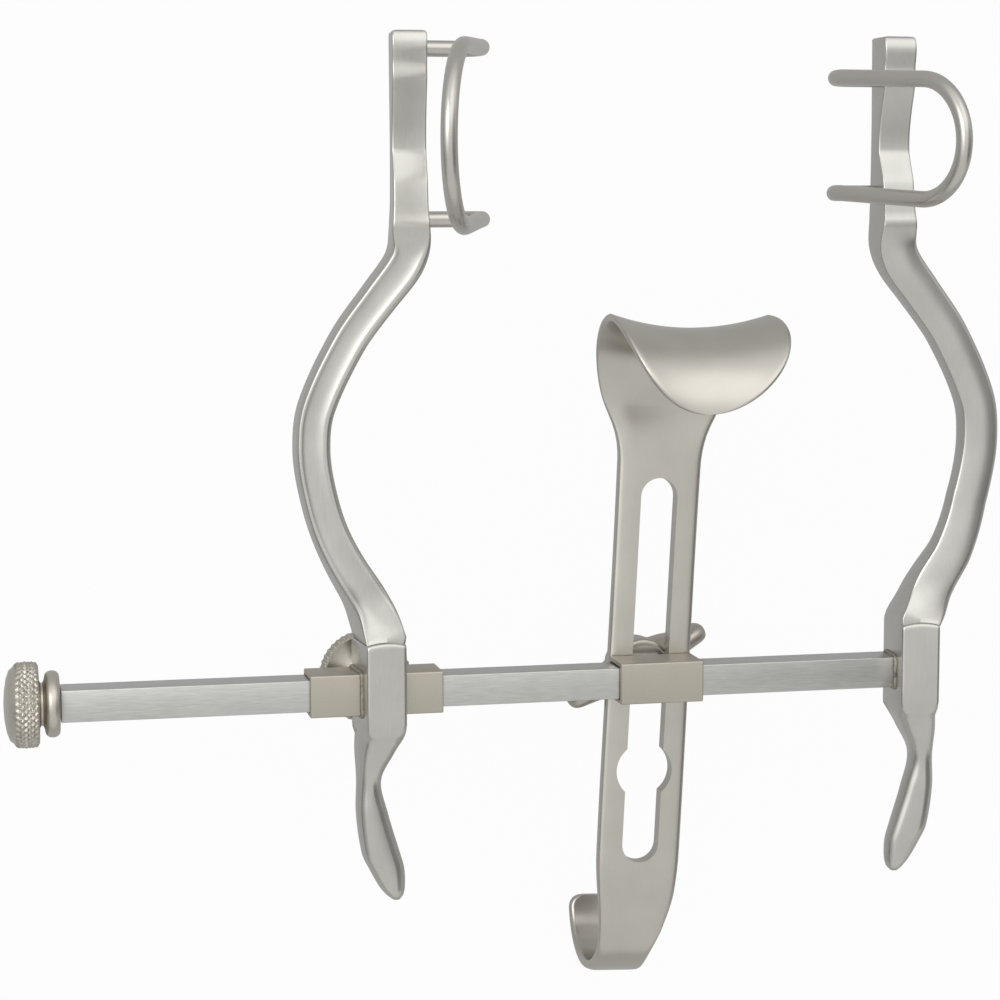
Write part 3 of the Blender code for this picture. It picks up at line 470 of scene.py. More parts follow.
def threaded(radius: float, low: float, high: float, pitch: float, depth: float) -> bmesh.types.BMesh:
    """A rod along Z whose side carries the ridges of a thread."""
    lead = 0.3
    profile = [(0.0, low), (radius - depth - 0.2, low)]
    for k in range(int((high - low - 2 * lead) / pitch)):
        z = low + lead + k * pitch
        profile += [(radius - depth, z), (radius, z + 0.4 * pitch), (radius, z + 0.55 * pitch)]
    profile += [(radius - depth, high - lead), (radius - depth, high), (0.0, high)]
    return lathe(profile, 36)


def block(low: Sequence[float], high: Sequence[float], edge: float) -> bmesh.types.BMesh:
    """A box between two corners with rounded edges."""
    bm = bmesh.new()
    bmesh.ops.create_cube(bm, size=1.0)
    bmesh.ops.scale(bm, vec=[b - a for a, b in zip(low, high)], verts=bm.verts)
    bmesh.ops.translate(bm, vec=[(b + a) / 2 for a, b in zip(low, high)], verts=bm.verts)
    bmesh.ops.bevel(
        bm, geom=bm.edges[:], offset=edge, segments=3, profile=0.5, affect="EDGES", material=-1
    )
    return bm


def knurl(
    bm: bmesh.types.BMesh, reach: Callable[[float], float], turns: int, pitch: float, depth: float
) -> None:
    """Presses crossed grooves into the rim of a shape turned about Z.

    Args:
        bm: The turned shape.
        reach: How much of the depth applies at a height.
        turns: Grooves round the rim in each direction.
        pitch: Height over which a groove moves on by one.
        depth: Depth of a groove.
    """
    for vert in bm.verts:
        share = reach(vert.co.z)
        radius = math.hypot(vert.co.x, vert.co.y)
        if share <= 0 or radius < 1.0:
            continue
        turn = math.atan2(vert.co.y, vert.co.x) / (2 * math.pi) * turns
        climb = vert.co.z / pitch
        waves = [abs(2 * ((turn + sign * climb) % 1.0) - 1) for sign in (1, -1)]
        cut = depth * share * max(waves) ** 2
        vert.co.x *= (radius - cut) / radius
        vert.co.y *= (radius - cut) / radius


@dataclass(frozen=True)
class Finishes:
    """The finishes of the instrument."""

    bar: SteelFinish = SteelFinish(
        "brushed_bar", "bar", (0.54, 0.54, 0.52), 0.35, Grain.ALONG_X,
        grain_size=0.15, grain_depth=0.004, mottle=0.06, streak=0.09,
    )
    blasted: SteelFinish = SteelFinish(
        "blasted_sleeve", "sleeve", (0.475, 0.445, 0.38), 0.42, grain_depth=0.004, streak=0.05
    )
    forging: SteelFinish = SteelFinish(
        "satin_forging", "forging", (0.54, 0.53, 0.495), 0.25, Grain.ALONG_Y,
        grain_size=0.16, grain_depth=0.0006, roughness_swing=0.015,
        mottle=0.09, mottle_size=7.0, streak=0.025,
    )
    blade: SteelFinish = SteelFinish(
        "satin_blade", "blade", (0.525, 0.505, 0.455), 0.29, Grain.ALONG_Y,
        grain_size=0.16, roughness_swing=0.008, mottle=0.09, mottle_size=7.0, streak=0.015,
    )
    wire: SteelFinish = SteelFinish(
        "polished_wire", "wire", (0.54, 0.52, 0.48), 0.27, roughness_swing=0.0
    )
    knurled: SteelFinish = SteelFinish(
        "knurled_screw", "knurled", (0.55, 0.52, 0.46), 0.34, grain_size=0.15, grain_depth=0.006
    )
    casting: SteelFinish = SteelFinish(
        "cast_nut", "casting", (0.46, 0.43, 0.38), 0.33, grain_size=0.35, grain_depth=0.006
    )
    # Braze is darker than the steel round it: partly the filler's own tone, partly painted shade where
    # the bar and sleeves meet the bosses.
    braze: SteelFinish = SteelFinish(
        "rough_braze_painted_shade", "braze", (0.34, 0.32, 0.27), 0.48, grain_size=0.3, grain_depth=0.03
    )


FINISHES = Finishes()


@dataclass
class Crossbar:
    """The bar, with sizes in mm."""

    left: float = 59.3
    right: float = 106.85
    edge: float = 0.2

    def build(self, maker: Maker) -> None:
        """Makes the bar."""
        y, z = BAR_HALF
        bm = block((-self.left, -y, -z), (self.right, y, z), self.edge)
        maker.piece(bm, "crossbar_brushed", Body.BAR, FINISHES.bar, ("crossbar",))


@dataclass
class Sleeves:
    """The two tubes that slide on the bar."""

    wall: float = 0.75
    edge: float = 0.35
    rim: float = 0.16
    slide_span: tuple[float, float] = (-13.5, 11.8)
    centre_span: tuple[float, float] = (46.4, 62.8)

    def tube(self, low: float, high: float) -> bmesh.types.BMesh:
        """A rectangular tube along X from one end to the other, with eased rims."""
        half_y, half_z = SLEEVE_HALF
        outside = [(low + self.rim, 0.0), (high - self.rim, 0.0), (high, self.rim)]
        inside = [(high, self.wall), (low, self.wall), (low, self.rim)]
        rings = []
        for x, inset in [*outside, *inside, outside[0]]:
            size = (half_z - inset, half_y - inset, half_y - inset)
            section = rounded_section(size, (max(self.edge - inset, 0.05),) * 3)
            rings.append([Vector((x, depth, across)) for across, depth in section])
        return sweep(rings, caps=False)

    def build(self, maker: Maker) -> None:
        """Makes the sliding arm's sleeve and the centre blade's sleeve."""
        sleeves = (
            ("slide_sleeve", Body.SLIDING_SIDE, self.slide_span),
            ("centre_sleeve", Body.CARRIAGE, self.centre_span),
        )
        for node, body, span in sleeves:
            maker.piece(self.tube(*span), f"{node}_tube", body, FINISHES.blasted, (node,))


@dataclass
class Forging:
    """One arm with its boss and handle; side is 1 for the sliding arm and -1 for the fixed one."""

    side: int
    origin_x: float
    boss_width: float = 7.7
    boss_front: float = 8.0
    boss_back: float = 5.3
    boss_corner: float = 0.55
    boss_top: float = 9.5
    boss_bottom: float = 6.9
    toe_in: float = math.radians(3.4)
    twist_span: tuple[float, float] = (11.0, 34.0)
    fixed_neck_shift: float = 1.0
    hole: tuple[float, float] = (4.03, 4.53)
    hole_span: tuple[float, float] = (-9.0, 9.0)
    arm_width: float = 6.5
    arm_top: float = 123.0
    tip_front: float = 5.35
    tip_back: float = 1.5
    arm_corners: tuple[float, float] = (1.5, 1.15)
    front_corner: float = 1.25
    crisp_corner: float = 0.3
    back_corner: float = 2.6
    hollow: float = 0.8
    draft: float = 1.0
    scallops: tuple[Row, ...] = (
        (0.0, 0.0), (1.0, 0.03), (5.4, 0.0), (6.0, 0.06), (8.4, 0.8), (9.4, 0.92), (21.6, 0.05),
        (22.2, 0.12), (26.2, 0.98), (27.4, 1.1), (33.4, 0.75), (35.6, 1.0), (36.4, 0.8),
        (42.0, 0.35), (60.0, 0.0),
    )
    spine_height: float = 0.35
    pad_offset: float = 6.1
    pad_bottom: float = 88.0
    centreline: tuple[Row, ...] = (
        (10.4, 0.3), (18.0, -2.9), (30.0, -8.7), (39.0, -11.3), (46.5, -12.2), (54.0, -11.2),
        (66.0, -5.4), (74.5, 0.7), (80.0, 4.6), (83.5, 5.85), (88.0, 6.1), (123.0, 6.1),
    )
    widths: tuple[Row, ...] = (
        (10.4, 7.75, -0.15), (14.0, 8.1, 0.15), (18.0, 8.0, 0.1), (24.0, 7.7, -0.4),
        (32.0, 7.4, -0.45), (46.5, 7.25, -0.4), (60.0, 7.25, -0.4), (72.0, 7.3, -0.4),
        (80.0, 7.7, -0.1), (84.0, 7.6, 0.05), (88.0, 6.9, 0.0), (92.0, 6.5, 0.0),
        (123.0, 6.5, 0.0),
    )
    depths: tuple[Row, ...] = (
        (10.4, 7.3, 5.0), (12.2, 6.75, 4.6), (14.5, 6.15, 4.1), (18.0, 5.5, 3.3),
        (21.5, 5.45, 2.4), (26.0, 5.4, 1.3), (36.0, 5.4, 0.8), (46.5, 5.5, 1.0), (60.0, 5.7, 0.9),
        (76.0, 5.8, 1.5), (88.6, 5.8, 1.5), (104.2, 3.1, 1.3), (119.8, 5.8, 1.5),
        (123.0, 5.3, 1.5),
    )
    handle_corners: tuple[float, float, float] = (2.0, 2.0, 1.8)
    handle: tuple[Row, ...] = (
        (-8.5, -0.1, 7.5, 7.0, 4.4), (-11.3, -1.0, 6.4, 5.9, 3.4), (-16.7, -2.1, 4.3, 4.2, 1.9),
        (-23.4, -1.5, 5.9, 3.9, 1.5), (-31.3, 0.2, 7.2, 3.7, 1.3), (-34.3, 1.3, 6.7, 3.5, 1.1),
        (-37.7, 2.3, 5.0, 3.2, 0.9), (-39.4, 2.8, 3.3, 2.9, 0.6), (-40.3, 3.0, 1.4, 2.3, 0.0),
    )

    def place(self, point: Vector) -> Vector:
        """Mirrors a point, turns it as the boss and the arm are turned, and moves it to its boss."""
        low, high = self.twist_span
        angle = -BOSS_TURN + (self.toe_in + BOSS_TURN) * ease((point.y - low) / (high - low))
        centre = Vector((0, 0, BOSS_MIDDLE_Z))
        turn = Matrix.Rotation(-self.side * angle, 3, "Y")
        turned = turn @ (Vector((self.side * point.x, point.y, point.z)) - centre) + centre
        return turned + Vector((self.origin_x, 0, 0))

    def arm_section(self, y: float) -> Outline:
        """Section of the arm at a height: crisp on the pad, with a ridge on one edge below.

        Args:
            y: The height.

        Returns:
            The outline's points, moved across by the arm's own shift.
        """
        width, shift = smooth_row(self.widths, y)
        if self.side < 0:
            share = held((self.twist_span[1] - y) / 10.0)
            shift -= self.fixed_neck_shift * share * ease((y - self.centreline[0][0] + 2.0) / 6.0)
        front, back = smooth_row(self.depths, y)
        low, high = self.centreline[0][0], self.pad_bottom
        stem = ease((high - 1.0 - y) / 6.0)
        hollow = self.hollow * stem * ease((y - low) / 6.0)
        scallop = smooth_row(self.scallops, self.arm_top - y)[0] if y > high - 6.0 else 0.0
        scallop *= 1.0 - ease((high - y) / 6.0)

        def lift(u: float) -> float:
            """Height of the front at a place across it: hollow ground, or crowned on the fixed arm."""
            if self.side > 0:
                return scallop + hollow * ((u + 0.1) ** 2 - 0.35)
            return scallop - 0.8 * hollow * (u + 0.2) ** 2

        share = held((y - low) / 8.0) * held((high + 2.0 - y) / 10.0)
        behind = self.front_corner + (self.back_corner - self.front_corner) * share
        fade = stem * ease((y - low) / 7.0)
        plus, minus = (radius * fade + self.crisp_corner * (1 - fade) for radius in self.arm_corners)
        section = shaped_section((width / 2, front, back), (plus, minus, behind), lift)
        draft = self.draft * fade if self.side > 0 else 0.0
        moved = []
        for across, depth in section:
            slant = draft * max(-2.0 * across / width, 0.0) * (depth + back) / (front + back)
            moved.append((across + shift + slant, depth))
        return moved

    def arm_rings(self) -> list[Ring]:
        """Sections of the arm from its tip down to the boss."""
        rings = []
        corners = (self.crisp_corner, self.crisp_corner, 0.8)
        for inset, drop in ((0.75, 0.0), (0.3, 0.12), (0.06, 0.42)):
            size = (self.arm_width / 2 - inset, self.tip_front - inset, self.tip_back - inset * 0.6)
            section = rounded_section(size, corners, side_steps=(FRONT_STEPS, 1))
            rings.append([Vector((self.pad_offset + a, self.arm_top - drop, d)) for a, d in section])
        steps = 150
        low, high = self.centreline[0][0], self.arm_top - 1.0
        for k in range(steps + 1):
            y = high + (low - high) * k / steps
            x = smooth_row(self.centreline, y)[0]
            ahead = smooth_row(self.centreline, y + 0.2)[0]
            behind = smooth_row(self.centreline, y - 0.2)[0]
            tilt = math.atan2(ahead - behind, 0.4)
            cos, sin = math.cos(tilt), math.sin(tilt)
            rings.append([Vector((x + a * cos, y - a * sin, d)) for a, d in self.arm_section(y)])
        return rings

    def boss_rings(self) -> list[Ring]:
        """Sections of the boss, top to bottom, with an arched, eased shoulder at the front."""
        top, bottom = self.boss_top, -self.boss_bottom
        rows = (
            (top + 0.3, 0.72, 0.1, 0.55), (top + 0.2, 0.4, 0.06, 0.55), (top, 0.14, 0.03, 0.5),
            (top - 0.3, 0.02, 0.0, 0.5), (top - 0.8, 0.0, 0.0, 0.4), (bottom + 4.0, 0.0, 0.0, 0.0),
            (bottom + 1.5, 0.02, 0.0, 0.0), (bottom, 0.12, 0.0, 0.0), (bottom - 0.8, 0.45, 0.15, 0.0),
        )
        rings = []
        for y, drop, narrow, arch in rows:
            half = (self.boss_width - narrow) / 2
            softer = self.boss_corner + 1.1 * ease((bottom + 1.5 - y) / 2.4)
            size = (half, self.boss_front - drop, self.boss_back)
            corners = (softer, softer, self.boss_corner)
            section = rounded_section(size, corners, side_steps=(FRONT_STEPS, 1))
            ring = []
            for a, d in section:
                share = ease((d + self.boss_back) / (self.boss_front + self.boss_back))
                ring.append(Vector((a, y + arch * (1 - (a / half) ** 2) * share, d)))
            rings.append(ring)
        return rings

    def handle_rings(self) -> list[Ring]:
        """Sections of the handle down to its tip, with a soft spine along its front."""
        rings = []
        steps = 60
        top, end = self.handle[0][0], self.handle[-1][0]
        for k in range(steps + 1):
            y = top + (end - top) * math.sin(QUARTER * k / steps) ** 1.15
            offset, width, front, back = smooth_row(self.handle, y)
            spine = self.spine_height * ease((top - 5.0 - y) / 7.0) * ease((y - end) / 6.0)

            def lift(u: float) -> float:
                """Height of the front at a place across it."""
                return spine * (0.3 - (u * self.side + 0.25) ** 2)

            section = shaped_section((width / 2, front, back), self.handle_corners, lift)
            rings.append([Vector((offset + a, y, d)) for a, d in section])
        return rings

    def build(self, maker: Maker) -> None:
        """Makes the forging."""
        rings = self.arm_rings() + self.boss_rings() + self.handle_rings()
        bm = sweep([[self.place(point) for point in ring] for ring in rings])
        body, node = (Body.SLIDING_SIDE, "sliding_arm") if self.side > 0 else (Body.BAR, "fixed_arm")
        forging = maker.piece(bm, f"{node}_forging", body, FINISHES.forging, (node,), CRISP_ANGLE)
        half_y, half_z = self.hole
        low, high = self.hole_span
        shape = block(
            (self.origin_x + low, -half_y, -half_z), (self.origin_x + high, half_y, half_z), 0.0
        )
        maker.cut(forging, shape)


@dataclass
class WireBlade:
    """A bent wire blade; side is 1 on the sliding arm and -1 on the fixed one."""

    side: int
    origin_x: float
    spread: float
    flare: float
    drop: float
    radius: float = 1.5
    middle_y: float = 104.2
    root_x: float = 5.35
    reach: float = 18.9
    bend: float = 4.0
    exit_z: float = 2.9
    tip_x: float = 6.35
    tip_z: float = 39.6
    sides: int = 20

    def path(self) -> list[Vector]:
        """Centreline of the wire, from one socket to the other."""
        half, wide = self.spread / 2, (self.spread + self.flare) / 2
        down = Vector((self.tip_x - self.reach, 0, self.tip_z - (self.exit_z + self.bend))).normalized()
        sweep_angle = math.atan2(-down.x, down.z)
        run = self.reach - self.bend - self.root_x
        plan = [Vector((self.root_x + run * k / 4, 0, self.exit_z)) for k in range(4)]
        centre = Vector((self.reach - self.bend, 0, self.exit_z + self.bend))
        for k in range(15):
            angle = (QUARTER + sweep_angle) * k / 14
            plan.append(centre + self.bend * Vector((math.sin(angle), 0, -math.cos(angle))))
        corner = plan[-1]
        reach = (Vector((self.tip_x, 0, self.tip_z)) - corner).dot(down)
        straight = reach - wide
        legs, bow = 8, 20
        upper = [(point, half, 0.0) for point in plan]
        for k in range(1, legs):
            along = straight * k / legs
            upper.append((corner + down * along, half + (wide - half) * ease(k / legs), along))
        for k in range(bow + 1):
            angle = QUARTER * k / bow
            along = straight + wide * math.sin(angle)
            upper.append((corner + down * along, wide * math.cos(angle), along))
        lower = [(point, -y, along) for point, y, along in reversed(upper[:-1])]
        placed = []
        for point, y, along in upper + lower:
            y += self.middle_y - self.drop * along / reach
            placed.append(Vector((self.origin_x + self.side * point.x, y, point.z)))
        return placed

    def build(self, maker: Maker) -> None:
        """Makes the wire."""
        path = self.path()
        normal = Vector((0, 0, 1))
        rings = []
        for k, point in enumerate(path):
            tangent = (path[min(k + 1, len(path) - 1)] - path[max(k - 1, 0)]).normalized()
            normal = (normal - tangent * normal.dot(tangent)).normalized()
            across = tangent.cross(normal)
            ring = []
            for s in range(self.sides):
                angle = 2 * math.pi * s / self.sides
                ring.append(point + (normal * math.cos(angle) + across * math.sin(angle)) * self.radius)
            rings.append(ring)
        body, side = (Body.SLIDING_SIDE, "sliding") if self.side > 0 else (Body.BAR, "fixed")
        node = f"{side}_blade_wire"
        maker.piece(sweep(rings), f"{side}_wire_bow", body, FINISHES.wire, (node,), WIRE_ANGLE)


@dataclass
class BrazeBeads:
    """Rough filler where a sleeve or the bar meets a boss, coloured dark: partly the filler's own tone,
    partly painted shade at the joint.
    """

    radius: float = 0.45
    boss_half: float = 3.85
    gap: float = 0.1
    corner: float = 0.7
    spacing: float = 0.3
    sides: int = 10

    def bead(
        self, origin_x: float, side: int, direction: int, half: tuple[float, float]
    ) -> bmesh.types.BMesh:
        """One bead round a rectangular section.

        Args:
            origin_x: Where the boss's middle is.
            side: 1 for the sliding boss and -1 for the fixed one.
            direction: The side of the boss on which it lies, 1 or -1.
            half: Half height and half depth of what it runs round.

        Returns:
            The bead.
        """
        half_y, half_z = half[0] + self.gap, half[1] + self.gap
        path = rounded_section((half_z, half_y, half_y), (self.corner,) * 3, 6, (16, 16))
        fine: Outline = []
        for (a0, d0), (a1, d1) in zip(path, path[1:] + path[:1]):
            pieces = max(1, int(math.hypot(a1 - a0, d1 - d0) / self.spacing))
            fine += [(a0 + (a1 - a0) * i / pieces, d0 + (d1 - d0) * i / pieces) for i in range(pieces)]
        rings = []
        count = len(fine)
        for k, (across, depth) in enumerate(fine):
            ahead, behind = fine[(k + 1) % count], fine[k - 1]
            tangent = Vector((0, ahead[1] - behind[1], ahead[0] - behind[0])).normalized()
            out = Vector((0, tangent.z, -tangent.y))
            x = origin_x + direction * (self.boss_half / math.cos(BOSS_TURN) + self.gap)
            x += side * (across - BOSS_MIDDLE_Z) * math.tan(BOSS_TURN)
            centre = Vector((x, depth, across))
            ring = []
            for s in range(self.sides):
                angle = 2 * math.pi * s / self.sides
                spot = Vector((math.cos(angle), 0, 0)) + out * math.sin(angle)
                broad, fine_lump = (noise.noise((centre + spot) * scale) for scale in (1.3, 3.1))
                ring.append(centre + spot * self.radius * (1 + 0.3 * broad + 0.1 * fine_lump))
            rings.append(ring)
        return sweep([*rings, rings[0]], caps=False)

    def build(self, maker: Maker) -> None:
        """Makes the beads at the sliding boss and at the fixed one."""
        beads = (
            ("outer_braze", Body.SLIDING_SIDE, self.bead(0.0, 1, -1, SLEEVE_HALF)),
            ("inner_braze", Body.SLIDING_SIDE, self.bead(0.0, 1, 1, SLEEVE_HALF)),
            ("fixed_braze", Body.BAR, self.bead(FIXED_BOSS_X, -1, -1, BAR_HALF)),
        )
        for name, body, bm in beads:
            # The beads take the dark braze finish, which is partly painted shade at these joints.
            maker.piece(bm, name, body, FINISHES.braze, (f"{name}_bead",), ROUGH_ANGLE)


@dataclass
class ThumbScrew:
    """The screw behind the sliding boss: knurled head, neck and threaded shank."""

    radius: float = 8.8
    top: float = -8.0
    thickness: float = 4.0
    neck_radius: float = 4.0
    neck_top: float = -6.2
    shank_radius: float = 2.5
    tip: float = -4.0
    thread: tuple[float, float] = (0.8, 0.3)
    grooves: int = 44
    groove: tuple[float, float] = (1.15, 0.42)
    height: float = 1.0

    def seat(self) -> Matrix:
        """Turns the screw square to the back of the sliding boss."""
        middle = Matrix.Translation((0, 0, BOSS_MIDDLE_Z))
        lift = Matrix.Translation((0, self.height, 0))
        return lift @ middle @ Matrix.Rotation(BOSS_TURN, 4, "Y") @ middle.inverted()

    def build(self, maker: Maker) -> None:
        """Makes the head and the shank."""
        low, high = self.top - self.thickness, self.top
        rim = [(self.radius - 0.45, low + 0.05), (self.radius - 0.12, low + 0.3)]
        steps, run = 18, self.thickness - 0.9
        rim += [(self.radius, low + 0.45 + run * k / steps) for k in range(steps + 1)]
        rim += [(self.radius - 0.12, high - 0.3), (self.radius - 0.5, high)]
        profile = [
            (self.shank_radius + 0.05, low + 0.5), (self.shank_radius + 0.6, low + 0.1),
            (self.radius - 2.2, low), *rim,
            (self.neck_radius + 0.5, high), (self.neck_radius, high + 0.4),
            (self.neck_radius, self.neck_top - 0.3), (self.neck_radius - 0.3, self.neck_top),
            (self.shank_radius + 0.05, self.neck_top),
        ]
        bm = lathe(profile, 5 * self.grooves, closed=True)

        def reach(z: float) -> float:
            """Share of the groove's depth at a height on the rim."""
            return ease((z - low) / 0.4) * ease((high - z) / 0.4)

        faces = {v: v.co.copy() for v in bm.verts if math.hypot(v.co.x, v.co.y) < self.radius - 0.6}
        knurl(bm, reach, self.grooves, *self.groove)
        for vert, place in faces.items():
            vert.co = place
        body, seat = Body.THUMB_SCREW, self.seat()
        head, shank = ("thumb_screw_head",), ("thumb_screw_shank",)
        maker.piece(bm, "thumb_screw_grip", body, FINISHES.knurled, head, CRISP_ANGLE, seat)
        bm = threaded(self.shank_radius, low - 0.2, self.tip, *self.thread)
        maker.piece(bm, "thumb_screw_thread", body, FINISHES.wire, shank, THREAD_ANGLE, seat)


@dataclass
class EndKnob:
    """The knurled knob at the free end of the bar, turned about X."""

    radius: float = 8.0
    face: float = 59.42
    collar_radius: float = 6.2
    collar_length: float = 2.68
    neck_radius: float = 4.0
    neck_length: float = 1.1
    length: float = 4.6
    dome: float = 1.8
    shank_radius: float = 2.0
    shank_end: float = 47.3
    thread: tuple[float, float] = (0.7, 0.2)
    grooves: int = 40
    groove: tuple[float, float] = (1.25, 0.45)

    def build(self, maker: Maker) -> None:
        """Makes the knob and its shank."""
        collar_end = self.face + self.collar_length
        start = collar_end + self.neck_length
        end = start + self.length
        inner, middle = self.collar_radius - 1.0, self.face + self.collar_length / 2
        profile = [(0.0, self.face), (inner, self.face)]
        for k in range(9):
            angle = math.pi * k / 8
            height = middle - math.cos(angle) * self.collar_length / 2
            profile.append((inner + math.sin(angle), height))
        profile += [(self.neck_radius + 0.5, collar_end + 0.15), (self.neck_radius, collar_end + 0.4)]
        profile += [(self.neck_radius, start - 0.35), (self.neck_radius + 0.6, start - 0.05)]
        profile += [(self.radius - 0.8, start), (self.radius - 0.25, start + 0.3)]
        steps = 20
        for k in range(steps + 1):
            f = k / steps
            bulge = 0.12 * math.sin(math.pi * f)
            profile.append((self.radius + bulge - 0.1, start + 0.55 + (self.length - 1.3) * f))
        profile += [(self.radius - 0.4, end - 0.3), (self.radius - 1.0, end + 0.1)]
        for f in (0.25, 0.5, 0.75, 0.92, 1.0):
            out = (self.radius - 1.0) * math.cos(QUARTER * f)
            profile.append((out, end + 0.1 + (self.dome - 0.1) * math.sin(QUARTER * f)))
        bm = lathe(profile, 5 * self.grooves)

        def reach(z: float) -> float:
            """Share of the groove's depth at a distance along the knob."""
            return ease((z - start - 0.1) / 0.5) * ease((end - 0.1 - z) / 0.6)

        knurl(bm, reach, self.grooves, *self.groove)
        seat = Matrix.Rotation(-QUARTER, 4, "Y")
        head, shank = ("end_knob_head",), ("end_knob_shank",)
        maker.piece(bm, "end_knob_grip", Body.KNOB, FINISHES.knurled, head, CRISP_ANGLE, seat)
        bm = threaded(self.shank_radius, self.shank_end, self.face + 0.4, *self.thread)
        maker.piece(bm, "end_knob_thread", Body.KNOB, FINISHES.wire, shank, THREAD_ANGLE, seat)


@dataclass
class CentreBlade:
    """The slotted blade with its saddle lip and its hook, on its own leaning axis."""

    centre_x: float = 54.6
    lean: float = math.radians(2.97)
    width: float = 16.4
    thickness: float = 3.2
    front_z: float = -4.8
    lip_thickness: float = 1.4
    hook_thickness: float = 2.2
    slot_width: float = 7.3
    slot_top: float = 38.6
    slot_bottom: float = 37.6
    keyhole: float = 11.2
    keyhole_drop: float = 19.2
    lip_radius: float = 15.5
    lip_crest: float = 67.7
    lip_width: float = 31.6
    lip_dish: float = 2.7
    lip_skew: float = math.radians(2.0)
    lip_full_side: float = 2.1
    flare_start: float = 41.0
    hook_radius: float = 12.3
    hook_bottom: float = 62.9
    hook_width: float = 10.8
    hook_drift: float = 1.5
    tongue_top: float = 51.0
    tongue_width: float = 11.6
    taper_start: float = 36.0
    tongue_corner: float = 2.5
    front_fall: float = 0.5
    slot_edge: float = 0.35

    def half_width(self, v: float) -> float:
        """Half width of the blade at a height on its own axis."""
        half, bottom, flare = self.width / 2, -self.hook_bottom, self.flare_start
        hook = self.hook_width / 2
        rows = (
            (bottom, hook), (bottom + 6.0, hook), (bottom + 12.0, hook + 1.1),
            (bottom + 19.0, half - 0.5), (-self.taper_start, half),
            (flare, half), (flare + 6.0, half + 0.9), (flare + 13.0, half + 4.0),
            (flare + 20.6, half + 6.2), (self.lip_crest, self.lip_width / 2),
        )
        return smooth_row(rows, v)[0]

    def drift(self, v: float) -> float:
        """How far the lower end is drawn to the left at a height."""
        start, end = -self.taper_start - 8.0, -self.hook_bottom + self.hook_thickness
        return self.hook_drift * ease((v - start) / (end - start))

    def stations(self) -> list[tuple[Vector, Vector, float, float, float]]:
        """Mid-surface stations as (point, outward normal, half width, thickness, share of dish)."""
        middle_z = self.front_z - self.thickness / 2
        rows = []
        hook_y = -self.hook_bottom + self.hook_thickness / 2 + self.hook_radius
        hook_centre = Vector((0, hook_y, middle_z - self.hook_radius))
        short = hook_y + self.tongue_top
        corner_steps, hook_steps = 6, 34
        for k in range(hook_steps + 1):
            corner = QUARTER * min(k, corner_steps) / corner_steps
            angle = math.asin((short + self.tongue_corner * (1 - math.cos(corner))) / self.hook_radius)
            if k > corner_steps:
                angle += (math.pi - angle) * (k - corner_steps) / (hook_steps - corner_steps)
            normal = Vector((0, -math.sin(angle), -math.cos(angle)))
            point = hook_centre + normal * self.hook_radius
            if angle > QUARTER:
                half, drift = self.half_width(point.y), self.drift(point.y)
            else:
                half = (self.tongue_width + (self.hook_width - self.tongue_width) * angle / QUARTER) / 2
                drift = self.hook_drift
            if k < corner_steps:
                half -= self.tongue_corner * (1 - math.sin(corner))
            rows.append((point - Vector((drift, 0, 0)), -normal, half, self.hook_thickness, 0.0))
        lip_y = self.lip_crest - self.lip_radius
        runs = 60
        for k in range(1, runs):
            y = hook_y + (lip_y - hook_y) * k / runs
            grow = held((y - hook_y) / 12.0)
            thick = self.hook_thickness + (self.thickness - self.hook_thickness) * grow
            fade = held((y - self.flare_start) / (lip_y - self.flare_start))
            thick += (self.lip_thickness + 0.6 - self.thickness) * fade
            middle = self.front_z - thick / 2
            middle += (middle_z - middle) * max(1 - grow, ease(fade))
            point = Vector((-self.drift(y), y, middle))
            rows.append((point, Vector((0, 0, -1)), self.half_width(y), thick, 0.0))
        lip_centre = Vector((0, lip_y, middle_z + self.lip_radius))
        quarter = 30
        for k in range(2 * quarter + 1):
            round_lip = QUARTER * (k - quarter) / quarter * 0.965
            rising = k <= quarter
            angle = QUARTER * (k / quarter if rising else 1 + 0.96 * math.sin(round_lip) ** 0.9)
            normal = Vector((0, math.sin(angle), -math.cos(angle)))
            point = lip_centre + normal * self.lip_radius
            half = self.half_width(point.y) if rising else self.lip_width / 2 * math.cos(round_lip)
            dish = min(angle / QUARTER, 1.0) ** 1.5
            thick = self.lip_thickness + 0.6 * (1 - min(angle, 1.0))
            rows.append((point, normal, half, thick, dish))
        return rows

    def ring(self, station: tuple[Vector, Vector, float, float, float]) -> Ring:
        """One section of the blade, rounded at its edges and dished in the lip."""
        point, normal, half, thick, dish = station
        corner = min(0.46 * thick, 0.8, half * 0.9)
        section = rounded_section((half, thick / 2, thick / 2), (corner,) * 3, side_steps=(26, 26))
        ring = []
        for u, t in section:
            amount = self.front_fall * (1.0 if u < 0 else 0.25)
            fall = amount * max(abs(u) / half - 0.62, 0.0) ** 2 / 0.144
            t += fall * max(-2.0 * t / thick, 0.0) ** 3 * (1.0 - dish)
            rise = dish * self.lip_dish * (u / (self.lip_width / 2)) ** 2
            upward = max(normal.z, 0.0) * max(normal.y, 0.0)
            fuller = self.lip_full_side * max(u, 0.0) / half * 2 * upward
            skewed = Vector((u + fuller, u * dish * math.tan(self.lip_skew), 0))
            ring.append(point + skewed + normal * (rise + t))
        return ring

    def lean_matrix(self) -> Matrix:
        """Turns the blade's own axes onto the stud with its lean."""
        return Matrix.Translation((self.centre_x, 0, 0)) @ Matrix.Rotation(-self.lean, 4, "Z")

    def slot_outline(self) -> Outline:
        """Outline of the slot and keyhole."""
        half, hole = self.slot_width / 2, self.keyhole / 2
        join = math.asin(half / hole)
        arcs = (
            (0.0, math.pi, half, self.slot_top - half),
            (QUARTER + join, 3 * QUARTER - join, hole, -self.keyhole_drop),
            (math.pi, 2 * math.pi, half, -self.slot_bottom + half),
            (-QUARTER + join, QUARTER - join, hole, -self.keyhole_drop),
        )
        points = []
        for start, end, radius, middle in arcs:
            for k in range(21):
                angle = start + (end - start) * k / 20
                points.append((radius * math.cos(angle), middle + radius * math.sin(angle)))
        return points

